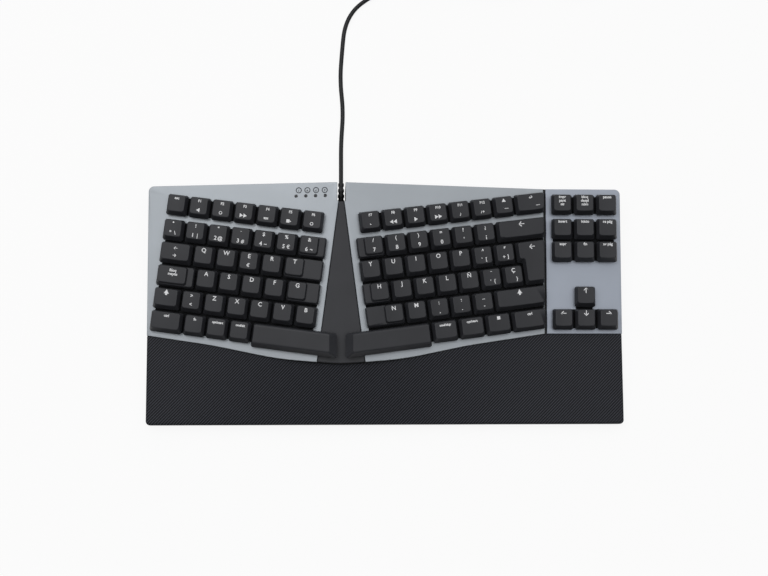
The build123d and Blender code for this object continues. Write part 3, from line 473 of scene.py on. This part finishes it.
INDICATORS = ("F", "↓", "A", "1")
INDICATOR_MARK_OFFSET = 4.2 * MM
INDICATOR_RING = 6.4  # font size of the rings, in millimetres
INDICATOR_SIGN = 2.4  # font size of the signs in them
LEGENDS = {
    "key_n_tilde": [letter("Ñ")],
    "key_c_cedilla": [[("Ç", 0.0, 3.6, None), ("}", 2.4, -3.6, 3.8)]],
    "key_e": [[("E", 0.0, 3.6, None), ("€", 0.0, -3.8, 4.0)]],
    "key_enter": [[("←", 0.6, 12.0, 6.4)]],
    "key_left_space": [[]],
    "key_right_space": [[]],
    "keys_left_function": [
        word("esc"),
        function_key("F1", "◀"),
        function_key("F2", "○"),
        function_key("F3", "▶▶"),
        function_key("F4", "≡≡"),
        function_key("F5", "■▸"),
        function_key("F6", "○"),
    ],
    "keys_right_function": [
        function_key("F7", "▸"),
        function_key("F8", "◀◀"),
        function_key("F9", "▶"),
        function_key("F10", "▶▶"),
        function_key("F11", "♪"),
        function_key("F12", "♪+"),
        [("▲", 0.0, 3.6, 3.4), ("—", 1.6, -3.0, 3.2)],
        [("⏎", 0.0, 3.6, 3.6), ("—", 5.6, -3.0, 3.2)],
    ],
    "keys_left_number": [
        number_key("ª", "º", "\\"),
        number_key("!", "1", "|"),
        number_key('"', "2", "@"),
        number_key("·", "3", "#"),
        number_key("$", "4", "~"),
        number_key("%", "5", "€"),
        number_key("&", "6", "¬"),
    ],
    "keys_right_number": [
        number_key("/", "7"),
        number_key("(", "8"),
        number_key(")", "9"),
        number_key("=", "0"),
        number_key("?", "'"),
        number_key("¿", "¡"),
        [("←", 0.0, 3.2, 6.4)],
    ],
    "keys_left_modifier": [
        [("ctrl", 0.6, 4.0, 3.1)],
        [("fn", 0.6, 4.0, 3.1)],
        [("opt/start", 0.6, 3.8, 2.6)],
        [("cmd/alt", 0.6, 3.8, 2.6)],
        up_arrow(),
        symbol_pair(">", "<"),
        [("Bloq", 0.4, 3.4, 3.2), ("mayús", 0.6, 0.5, 3.2)],
        [("←", 0.2, 2.8, 3.8), ("→", -0.2, -3.2, 3.8)],
    ],
    "keys_right_modifier": [
        [("cmd/altgr", 0.0, 4.0, 2.6)],
        [("opt/start", 0.0, 4.0, 2.6)],
        [("■", 0.0, 3.8, 3.4)],
        [("ctrl", 0.0, 4.0, 3.1)],
        symbol_pair(";", ","),
        symbol_pair(":", "."),
        symbol_pair("_", "-"),
        up_arrow(-1.2),
        symbol_pair("¨", "´", "{"),
        symbol_pair("^", "`", "["),
        symbol_pair("*", "+", "]"),
    ],
    "keys_navigation": [
        [("←", 0.0, 3.6, 6.0)],
        [("↓", 0.0, 3.6, 6.0)],
        [("→", 0.0, 3.6, 6.0)],
        [("↑", 0.0, 3.6, 6.0)],
        words("supr"),
        words("fin"),
        words("av pág"),
        words("insert"),
        words("inicio"),
        words("re pág"),
        words("impr", "pant", "sis"),
        words("bloq", "despl", "núm"),
        words("pausa"),
    ],
}


def legend_mesh(text, size, sizes):
    """One legend as a thin closed mesh, centred on its own outline and lying in XY."""
    curve = bpy.data.curves.new("legend", "FONT")
    curve.body = text
    curve.size = size
    curve.extrude = sizes.legend_thickness / 2
    curve.offset = sizes.legend_weight
    curve.resolution_u = 3
    curve.align_x = "CENTER"
    curve.align_y = "CENTER"
    holder = link(bpy.data.objects.new("legend", curve))
    bpy.context.view_layer.update()
    mesh = bpy.data.meshes.new_from_object(holder.evaluated_get(bpy.context.evaluated_depsgraph_get()))
    bpy.data.objects.remove(holder)
    bpy.data.curves.remove(curve)
    return mesh


def local_box(points, axes):
    """Lowest and highest corner of some points along a key plane's axes."""
    local = [[p.dot(axis) for axis in axes] for p in points]
    return [min(p[i] for p in local) for i in range(3)], [max(p[i] for p in local) for i in range(3)]


def cap_places(mesh, axes):
    """Each cap of a mesh, from the front row's left end: its top's centre, and its box."""
    caps = []
    for group in islands(mesh):
        points = [mesh.vertices[i].co for i in group]
        low, high = local_box(points, axes)
        rim = [p for p in points if p.dot(axes[2]) > high[2] - RIM_DEPTH]
        rim_low, rim_high = local_box(rim, axes)
        centre = ((rim_low[0] + rim_high[0]) / 2, (rim_low[1] + rim_high[1]) / 2, high[2])
        caps.append((centre, low, high))
    caps.sort(key=lambda cap: cap[0][1])
    rows = [[caps[0]]]
    for cap in caps[1:]:
        if cap[0][1] - rows[-1][-1][0][1] > ROW_STEP:
            rows.append([])
        rows[-1].append(cap)
    return [cap for row in rows for cap in sorted(row, key=lambda cap: cap[0][0])]


def print_marks(name, node, axes, marks, sizes, ink):
    """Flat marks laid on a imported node's surface along its plane's axes, as one thin piece."""
    across, rearward, normal = axes
    source = merged_copy(node)
    surface = BVHTree.FromBMesh(source)
    source.free()
    printed = bmesh.new()
    for text, x, y, z, size in marks:
        if not text:
            continue
        mesh = legend_mesh(text, size * MM if size else sizes.letter_size, sizes)
        start = len(printed.verts)
        printed.from_mesh(mesh)
        bpy.data.meshes.remove(mesh)
        printed.verts.ensure_lookup_table()
        for vert in printed.verts[start:]:
            flat = across * (x + vert.co.x) + rearward * (y + vert.co.y)
            hit = surface.ray_cast(flat + normal * (z + PRINT_DROP), -normal)[0]
            level = hit.dot(normal) if hit else z
            vert.co = flat + normal * (level + vert.co.z)
    if not printed.verts:
        printed.free()
        return
    mesh = bpy.data.meshes.new(name)
    printed.to_mesh(mesh)
    printed.free()
    mesh.materials.append(ink)
    piece = link(bpy.data.objects.new(name, mesh))
    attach(piece, body_of_node(node))


def print_legends(node, sizes, ink):
    """The legends of one node's caps."""
    axes = key_axes(node, sizes.plan_turn)
    merged = merged_copy(node)
    plain = bpy.data.meshes.new("plain")
    merged.to_mesh(plain)
    merged.free()
    caps = cap_places(plain, axes)
    bpy.data.meshes.remove(plain)
    legends = LEGENDS.get(node, [letter(node[4:].upper())])
    if len(legends) != len(caps):
        raise RuntimeError(f"{node} has {len(caps)} caps and {len(legends)} legends")
    marks = [
        (text, centre[0] + dx * MM, centre[1] + dy * MM, centre[2], size)
        for (centre, low, high), lines in zip(caps, legends)
        for text, dx, dy, size in lines
    ]
    print_marks(f"{node}_legend", node, axes, marks, sizes, ink)
    return [(low, high) for centre, low, high in caps], axes


def row_fields(boxes):
    """Front, rear, left and right of the deck under each row of caps, a little inside the row's outline."""
    rows = {}
    for low, high in boxes:
        count = max(1, round((high[1] - low[1]) / KEY_PITCH))
        for i in range(count):
            front = high[1] - (count - i) * KEY_PITCH + CAP_GAP
            key = next((k for k in rows if abs(k - front) < ROW_TOLERANCE), front)
            left, right = rows.get(key, (low[0], high[0]))
            rows[key] = (min(left, low[0]), max(right, high[0]))
    fields = []
    for front, (left, right) in rows.items():
        behind = any(abs(other - front - KEY_PITCH) < ROW_TOLERANCE for other in rows)
        before = any(abs(front - other - KEY_PITCH) < ROW_TOLERANCE for other in rows)
        start = front - (CAP_GAP if before else -FIELD_INSET)
        end = front + KEY_PITCH - CAP_GAP - (0 if behind else FIELD_INSET)
        fields.append((start, end, left + FIELD_INSET, right - FIELD_INSET))
    return fields


def paint_shade_under_caps(piece, boxes, axes, material):
    """A deck's top painted dark under its rows of caps: painted shade for the shade in the narrow gaps between the
    caps.
    """
    across, rearward, normal = axes
    fields = row_fields(boxes)
    shape = bmesh.new()
    shape.from_mesh(piece.data)
    for start, end, left, right in fields:
        for axis, place in ((rearward, start), (rearward, end), (across, left), (across, right)):
            top = [face for face in shape.faces if face.normal.dot(normal) > FACING]
            edges = dict.fromkeys(edge for face in top for edge in face.edges)
            verts = dict.fromkeys(vert for face in top for vert in face.verts)
            bmesh.ops.bisect_plane(
                shape,
                geom=[*top, *edges, *verts],
                dist=CUT_TOLERANCE,
                plane_co=axis * place,
                plane_no=axis,
            )
    for face in shape.faces:
        if face.normal.dot(normal) > FACING:
            centre = face.calc_center_median()
            x, y = centre.dot(across), centre.dot(rearward)
            if any(start < y < end and left < x < right for start, end, left, right in fields):
                face.material_index = 1
    shape.to_mesh(piece.data)
    shape.free()
    piece.data.materials.append(material)


# Cable route, in metres: lead, folded hank and tail, through the solids' own points
CABLE_REST = 1.85 * MM
EXIT = Vector((SPLIT_X, 105.5 * MM, 7.0 * MM))
HANK_CENTRE = Vector((SPLIT_X + 100 * MM, 304 * MM, 0))
HANK_LEVEL = 2.702 * MM
HANK_LAYER = 4.3 * MM
HANK_RUNS = 6
HANK_RUN = 62 * MM
HANK_RADIUS = 22.2 * MM
HANK_STEP = 4.4 * MM
HANK_WAIST_STEP = 4.7 * MM
HANK_DRAW = 5 * MM
HANK_START = 14 * MM
RUN_PLACES = (-0.8, -0.3, 0.3, 0.8)  # a run's points, as shares of half its length
FOLD_POINTS = 7
PLUG_LEVEL = 3.8 * MM


def lead_route():
    """From the exit down onto the desk and along it to the hank's entry, which comes back too."""
    entry = Vector((HANK_CENTRE.x - HANK_RUN / 2 - HANK_START, HANK_CENTRE.y - HANK_RADIUS, HANK_LEVEL))
    points = [
        EXIT,
        EXIT + Vector((0, 0.015, 0)),
        Vector((SPLIT_X, EXIT.y + 0.037, CABLE_REST)),
        Vector((SPLIT_X + 0.002, EXIT.y + 0.065, CABLE_REST)),
        Vector((SPLIT_X - 0.001, EXIT.y + 0.093, CABLE_REST)),
        Vector((SPLIT_X + 0.001, EXIT.y + 0.121, CABLE_REST)),
        Vector((SPLIT_X + 0.003, entry.y - 0.035, CABLE_REST)),
        Vector((SPLIT_X + 0.011, entry.y - 0.019, CABLE_REST)),
        Vector((entry.x - 0.03, entry.y - 0.008, CABLE_REST)),
        Vector((entry.x - 0.015, entry.y, HANK_LEVEL)),
    ]
    return points, entry


def hank_route(entry):
    """Runs joined by half-turn folds: inwards, up a layer on the innermost run, and out again."""
    last = 2 * (HANK_RUNS - 1)
    points = [entry]
    for run in range(last + 1):
        turn = min(run, last - run)
        half_width = HANK_RADIUS - turn * HANK_STEP / 2
        waist = HANK_RADIUS - HANK_DRAW - turn * HANK_WAIST_STEP / 2
        side = -1 if run % 2 == 0 else 1
        heading = -side
        before = HANK_LEVEL if run < HANK_RUNS else HANK_LEVEL + HANK_LAYER
        after = HANK_LEVEL if run < HANK_RUNS - 1 else HANK_LEVEL + HANK_LAYER
        slope = (half_width - waist) / (HANK_RUN / 2)
        for place in RUN_PLACES:
            off = abs(place) * HANK_RUN / 2
            level = before + (after - before) * (place + 1) / 2
            spot = Vector((heading * place * HANK_RUN / 2, side * (waist + off * slope), level))
            points.append(HANK_CENTRE + spot)
        if run < last:
            following = min(run + 1, last - run - 1)
            next_width = HANK_RADIUS - following * HANK_STEP / 2
            radius = (half_width + next_width) / 2
            middle = side * (half_width - next_width) / 2
            corner = radius / math.cos(math.pi / (FOLD_POINTS - 1) / 2)
            for i in range(FOLD_POINTS):
                angle = math.pi * i / (FOLD_POINTS - 1)
                grown = corner if 0 < i < FOLD_POINTS - 1 else radius
                x = heading * (HANK_RUN / 2 + grown * math.sin(angle))
                points.append(HANK_CENTRE + Vector((x, middle + side * grown * math.cos(angle), after)))
    top = HANK_LEVEL + HANK_LAYER
    points.append(HANK_CENTRE + Vector((HANK_RUN / 2, -HANK_RADIUS, top)))
    return points


def tail_route():
    """From the hank's top layer down to the plug."""
    start = HANK_CENTRE + Vector((HANK_RUN / 2 + HANK_START, -HANK_RADIUS, HANK_LEVEL + HANK_LAYER))
    return [
        start,
        start + Vector((0.013, 0, 0)),
        Vector((start.x + 0.031, start.y + 0.006, PLUG_LEVEL)),
        Vector((start.x + 0.044, start.y + 0.006, PLUG_LEVEL)),
    ]


def spline_length(obj):
    """Length of a curve's own line, as its mesh with no bevel gives it."""
    mesh = bpy.data.meshes.new_from_object(obj)
    ends = [[mesh.vertices[i].co for i in edge.vertices] for edge in mesh.edges]
    total = sum((start - end).length for start, end in ends)
    bpy.data.meshes.remove(mesh)
    return total


# Operators


class KEYBOARD_OT_decks(bpy.types.Operator):
    """Silver metal decks with rounded edges"""

    bl_idname = "keyboard.decks"
    bl_label = "Decks"

    def execute(self, context):
        sizes, colours = context.scene.keyboard_sizes, context.scene.keyboard_colours
        paint = metallic_paint("silver_paint", colours.deck)
        nav_paint = metallic_paint("silver_paint_navigation", colours.nav_deck)
        for deck, finish in (("left_deck", paint), ("right_deck", paint), ("nav_deck", nav_paint)):
            dress(deck, finish, sizes.deck_edge, 3, PLATE_RIDGE, outline_only=True)
        ink = printed_ink("deck_ink", colours.deck_ink)
        axes = key_axes("key_a", sizes.plan_turn)
        low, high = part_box("indicator_lenses")
        places = [low.x + (high.x - low.x) * (i + 0.5) / len(INDICATORS) for i in range(len(INDICATORS))]
        marks = []
        for x, text in zip(reversed(places), INDICATORS):
            spot = Vector((x, (low.y + high.y) / 2, high.z))
            place = [spot.dot(axis) for axis in axes]
            for mark, size in (("○", INDICATOR_RING), (text, INDICATOR_SIGN)):
                marks.append((mark, place[0], place[1] + INDICATOR_MARK_OFFSET, place[2], size))
        print_marks("indicator_marks", "left_deck", axes, marks, sizes, ink)
        return {"FINISHED"}


class KEYBOARD_OT_keycaps(bpy.types.Operator):
    """Black keycaps with softened edges and printed legends, and painted shade on the decks under them"""

    bl_idname = "keyboard.keycaps"
    bl_label = "Keycaps"

    def execute(self, context):
        sizes, colours = context.scene.keyboard_sizes, context.scene.keyboard_colours
        plastic = moulded_plastic("keycap_abs", colours.cap, 0.42, 0.5, 0.25)
        ink = printed_ink("legend_ink", colours.legend)
        # The case's black plastic serves here as painted shade: the deck under the rows of caps is painted dark
        # where the gaps between the caps lie in shade.
        dark = moulded_plastic("painted_shade_key_field", colours.case, 0.7, 0.8, 0.1, gloss=0.1)
        fields = {}
        for node in [name for name in frame["nodes"] if name.startswith("key")]:
            dress(node, plastic, sizes.cap_edge)
            boxes, axes = print_legends(node, sizes, ink)
            lean = axes[2].x
            deck = "nav_deck" if abs(lean) < LEVEL_LEAN else "left_deck" if lean < 0 else "right_deck"
            fields.setdefault(deck, ([], axes))[0].extend(boxes)
        for deck, (boxes, axes) in fields.items():
            paint_shade_under_caps(bpy.data.objects[f"{deck}_shell"], boxes, axes, dark)
        return {"FINISHED"}


class KEYBOARD_OT_palm_rest(bpy.types.Operator):
    """Hatched black palm rest"""

    bl_idname = "keyboard.palm_rest"
    bl_label = "Palm Rest"

    def execute(self, context):
        sizes, colours = context.scene.keyboard_sizes, context.scene.keyboard_colours
        plastic = hatched_plastic("hatched_palm_plastic", colours.palm, sizes.hatch_pitch)
        dress("palm_rest", plastic, 0.0)
        return {"FINISHED"}


class KEYBOARD_OT_case(bpy.types.Operator):
    """Case, centre panel, feet, pads and screws"""

    bl_idname = "keyboard.case"
    bl_label = "Case"

    def execute(self, context):
        sizes, colours = context.scene.keyboard_sizes, context.scene.keyboard_colours
        shell = moulded_plastic("case_abs", colours.case, 0.5, 0.6, 0.3)
        panel = moulded_plastic("panel_abs", colours.panel, 0.45, 0.5, 0.2)
        rubber = moulded_plastic("pad_rubber", colours.cable, 0.8, 0.8, 0.4)
        steel = brushed_metal("screw_steel", colours.steel)
        dress("bottom_case", shell)
        dress("center_panel", panel, sizes.case_edge, 2, PLATE_RIDGE)
        dress("left_foot", shell, sizes.case_edge, 2, PLATE_RIDGE)
        dress("right_foot", shell, sizes.case_edge, 2, PLATE_RIDGE)
        dress("rubber_pads", rubber, sizes.case_edge, 2, PLATE_RIDGE)
        dress("case_screws", steel)
        return {"FINISHED"}


class KEYBOARD_OT_inner_parts(bpy.types.Operator):
    """Circuit boards, switch housings, guides, ribbon cable and indicator lenses"""

    bl_idname = "keyboard.inner_parts"
    bl_label = "Inner Parts"

    def execute(self, context):
        colours = context.scene.keyboard_colours
        mask = moulded_plastic("solder_mask", colours.board, 0.35, 0.8, 0.1)
        nylon = moulded_plastic("switch_nylon", colours.case, 0.55, 0.6, 0.2)
        ribbon = moulded_plastic("ribbon_film", colours.cable, 0.4, 0.8, 0.1)
        dress("circuit_boards", mask)
        dress("switch_housings", nylon)
        dress("stabilizer_guides", nylon)
        dress("ribbon_cable", ribbon)
        dress("indicator_lenses", clear_lens("indicator_acrylic", colours.lens))
        return {"FINISHED"}


class KEYBOARD_OT_cable(bpy.types.Operator):
    """Cable from its strain relief to the plug, with the spare length in a tied hank"""

    bl_idname = "keyboard.cable"
    bl_label = "Cable"

    def execute(self, context):
        sizes, colours = context.scene.keyboard_sizes, context.scene.keyboard_colours
        jacket = moulded_plastic("cable_jacket", colours.cable, 0.45, 0.5, 0.15)
        grip = moulded_plastic("plug_grip", colours.case, 0.5, 0.5, 0.25)
        lead, entry = lead_route()
        route = lead + hank_route(entry) + tail_route()
        curve = bpy.data.curves.new("cable", "CURVE")
        curve.dimensions = "3D"
        spline = curve.splines.new("NURBS")
        spline.points.add(len(route) - 1)
        for point, place in zip(spline.points, route):
            point.co = (*place, 1.0)
        spline.order_u = 3
        spline.use_endpoint_u = True
        spline.resolution_u = 6
        cable = link(bpy.data.objects.new("cable", curve))
        bpy.context.view_layer.update()
        length = spline_length(cable)
        curve.bevel_depth = sizes.cable_diameter / 2
        curve.bevel_resolution = 4
        curve.use_fill_caps = True
        curve.materials.append(jacket)
        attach(cable, "case")
        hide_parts("cable_lead", "cable_hank", "cable_tail")
        dress("strain_relief", jacket)
        dress("cable_tie", grip)
        dress("usb_plug_body", grip, sizes.plug_edge, 3, PLUG_RIDGE)
        dress("usb_plug_shell", brushed_metal("plug_steel", colours.steel))
        return {"FINISHED"}


# Stage: the photograph's own framing, in its pixels, and a light that leaves colours about as written
PHOTO_WIDTH = 768
FOCAL_LENGTH = 1175.2
SENSOR_WIDTH = 36
CAMERA_PLACE = (SPLIT_X - 9.7 * MM, -117.6 * MM, 989.7 * MM)
CAMERA_TURNS = ((-7.73, "X"), (2.65, "Y"), (0.24, "Z"))
FLOOR_REACH = 6.0
FLOOR_WHITENESS = 0.9
DOME_LEAN = (0.0, 0.36, 0.933)
DOME_EDGE, DOME_TOP = 0.45, 0.93
DOME_DARK, DOME_BRIGHT = 0.01, 1.3
DOME_GLOSS = 0.1
SOFTBOX_PLACE = (-0.75, 0.7, 1.6)
SOFTBOX_SIZE = 0.9
SOFTBOX_WATTS = 5


def background_share(tree, glossy):
    """How white a ray sees the background: fully for the camera and clear pieces, by a share for gloss."""
    path = add_node(tree, "ShaderNodeLightPath")
    direct = maths(tree, "MAXIMUM", path.outputs["Is Camera Ray"], path.outputs["Is Transmission Ray"])
    return maths(tree, "MAXIMUM", direct, maths(tree, "MULTIPLY", path.outputs["Is Glossy Ray"], glossy))


def lay_floor(colour):
    """A pale floor that keeps the shadows and is nearly white to the camera."""
    shape = bmesh.new()
    bmesh.ops.create_grid(shape, x_segments=1, y_segments=1, size=FLOOR_REACH)
    mesh = bpy.data.meshes.new("floor")
    shape.to_mesh(mesh)
    shape.free()
    floor = link(bpy.data.objects.new("floor", mesh))
    material, tree, output, position = new_material("floor_paper")
    paper = add_node(
        tree, "ShaderNodeBsdfPrincipled", inputs={"Base Color": linear(colour), "Roughness": 0.9}
    ).outputs["BSDF"]
    white = add_node(tree, "ShaderNodeEmission", inputs={"Color": (1, 1, 1, 1), "Strength": 1.0}).outputs[0]
    share = maths(tree, "MULTIPLY", background_share(tree, 1.0), FLOOR_WHITENESS)
    mixed = add_node(tree, "ShaderNodeMixShader", inputs={0: share, 1: paper, 2: white})
    tree.links.new(mixed.outputs[0], output.inputs["Surface"])
    mesh.materials.append(material)


def light_dome(scene):
    """A dome that is bright above and a little behind, dark at its edge, and white to the camera."""
    world = bpy.data.worlds.new("studio")
    world.use_nodes = True
    tree = world.node_tree
    tree.nodes.clear()
    direction = add_node(tree, "ShaderNodeTexCoord").outputs["Generated"]
    rise = add_node(tree, "ShaderNodeVectorMath", {"operation": "DOT_PRODUCT"}, {0: direction, 1: DOME_LEAN})
    level = add_node(
        tree,
        "ShaderNodeMapRange",
        {"interpolation_type": "SMOOTHSTEP"},
        {
            "Value": rise.outputs["Value"],
            "From Min": DOME_EDGE,
            "From Max": DOME_TOP,
            "To Min": DOME_DARK,
            "To Max": DOME_BRIGHT,
        },
    )
    strength = maths(tree, "MAXIMUM", level.outputs["Result"], background_share(tree, DOME_GLOSS))
    dome = add_node(tree, "ShaderNodeBackground", inputs={"Color": (1, 1, 1, 1), "Strength": strength})
    output = add_node(tree, "ShaderNodeOutputWorld")
    tree.links.new(dome.outputs["Background"], output.inputs["Surface"])
    scene.world = world


def place_softbox():
    """One soft lamp from the rear left, aimed at the origin."""
    lamp = bpy.data.lights.new("softbox", "AREA")
    lamp.shape = "SQUARE"
    lamp.size = SOFTBOX_SIZE
    lamp.energy = SOFTBOX_WATTS
    holder = link(bpy.data.objects.new("softbox", lamp))
    holder.location = SOFTBOX_PLACE
    holder.rotation_euler = (-holder.location).to_track_quat("-Z", "Y").to_euler()


def place_camera(scene):
    """The camera that was fitted to the photograph."""
    camera = bpy.data.cameras.new("camera")
    camera.sensor_width = SENSOR_WIDTH
    camera.lens = FOCAL_LENGTH / PHOTO_WIDTH * SENSOR_WIDTH
    camera.clip_start = 0.01
    holder = link(bpy.data.objects.new("camera", camera))
    facing = Matrix.Identity(3)
    for degrees, axis in CAMERA_TURNS:
        facing = facing @ Matrix.Rotation(math.radians(degrees), 3, axis)
    holder.matrix_world = Matrix.Translation(CAMERA_PLACE) @ facing.transposed().to_4x4()
    scene.camera = holder


class KEYBOARD_OT_stage(bpy.types.Operator):
    """Pale floor, soft studio light and the camera"""

    bl_idname = "keyboard.stage"
    bl_label = "Stage"

    def execute(self, context):
        scene = context.scene
        lay_floor(scene.keyboard_colours.floor)
        light_dome(scene)
        place_softbox()
        place_camera(scene)
        scene.view_settings.view_transform = "Standard"
        return {"FINISHED"}


class KEYBOARD_PT_panel(bpy.types.Panel):
    """Lists the keyboard's steps, sizes and colours"""

    bl_label = "Split Keyboard"
    bl_idname = "KEYBOARD_PT_panel"
    bl_space_type = "VIEW_3D"
    bl_region_type = "UI"
    bl_category = "Keyboard"

    def draw(self, context):
        layout = self.layout
        for step in STEPS:
            layout.operator(step.bl_idname)
        for group in (context.scene.keyboard_sizes, context.scene.keyboard_colours):
            for name in group.__annotations__:
                layout.prop(group, name)


STEPS = (
    KEYBOARD_OT_stage,
    KEYBOARD_OT_cable,
    KEYBOARD_OT_decks,
    KEYBOARD_OT_keycaps,
    KEYBOARD_OT_palm_rest,
    KEYBOARD_OT_case,
    KEYBOARD_OT_inner_parts,
)
CLASSES = (KeyboardSizes, KeyboardColours, *STEPS, KEYBOARD_PT_panel)


def register():
    for cls in CLASSES:
        bpy.utils.register_class(cls)
    bpy.types.Scene.keyboard_sizes = bpy.props.PointerProperty(type=KeyboardSizes)
    bpy.types.Scene.keyboard_colours = bpy.props.PointerProperty(type=KeyboardColours)


def unregister():
    del bpy.types.Scene.keyboard_colours
    del bpy.types.Scene.keyboard_sizes
    for cls in reversed(CLASSES):
        bpy.utils.unregister_class(cls)


def main():
    register()
    bpy.ops.keyboard.stage()
    bpy.ops.keyboard.cable()
    bpy.ops.keyboard.decks()
    bpy.ops.keyboard.keycaps()
    bpy.ops.keyboard.palm_rest()
    bpy.ops.keyboard.case()
    bpy.ops.keyboard.inner_parts()


if __name__ == "__main__":
    main()
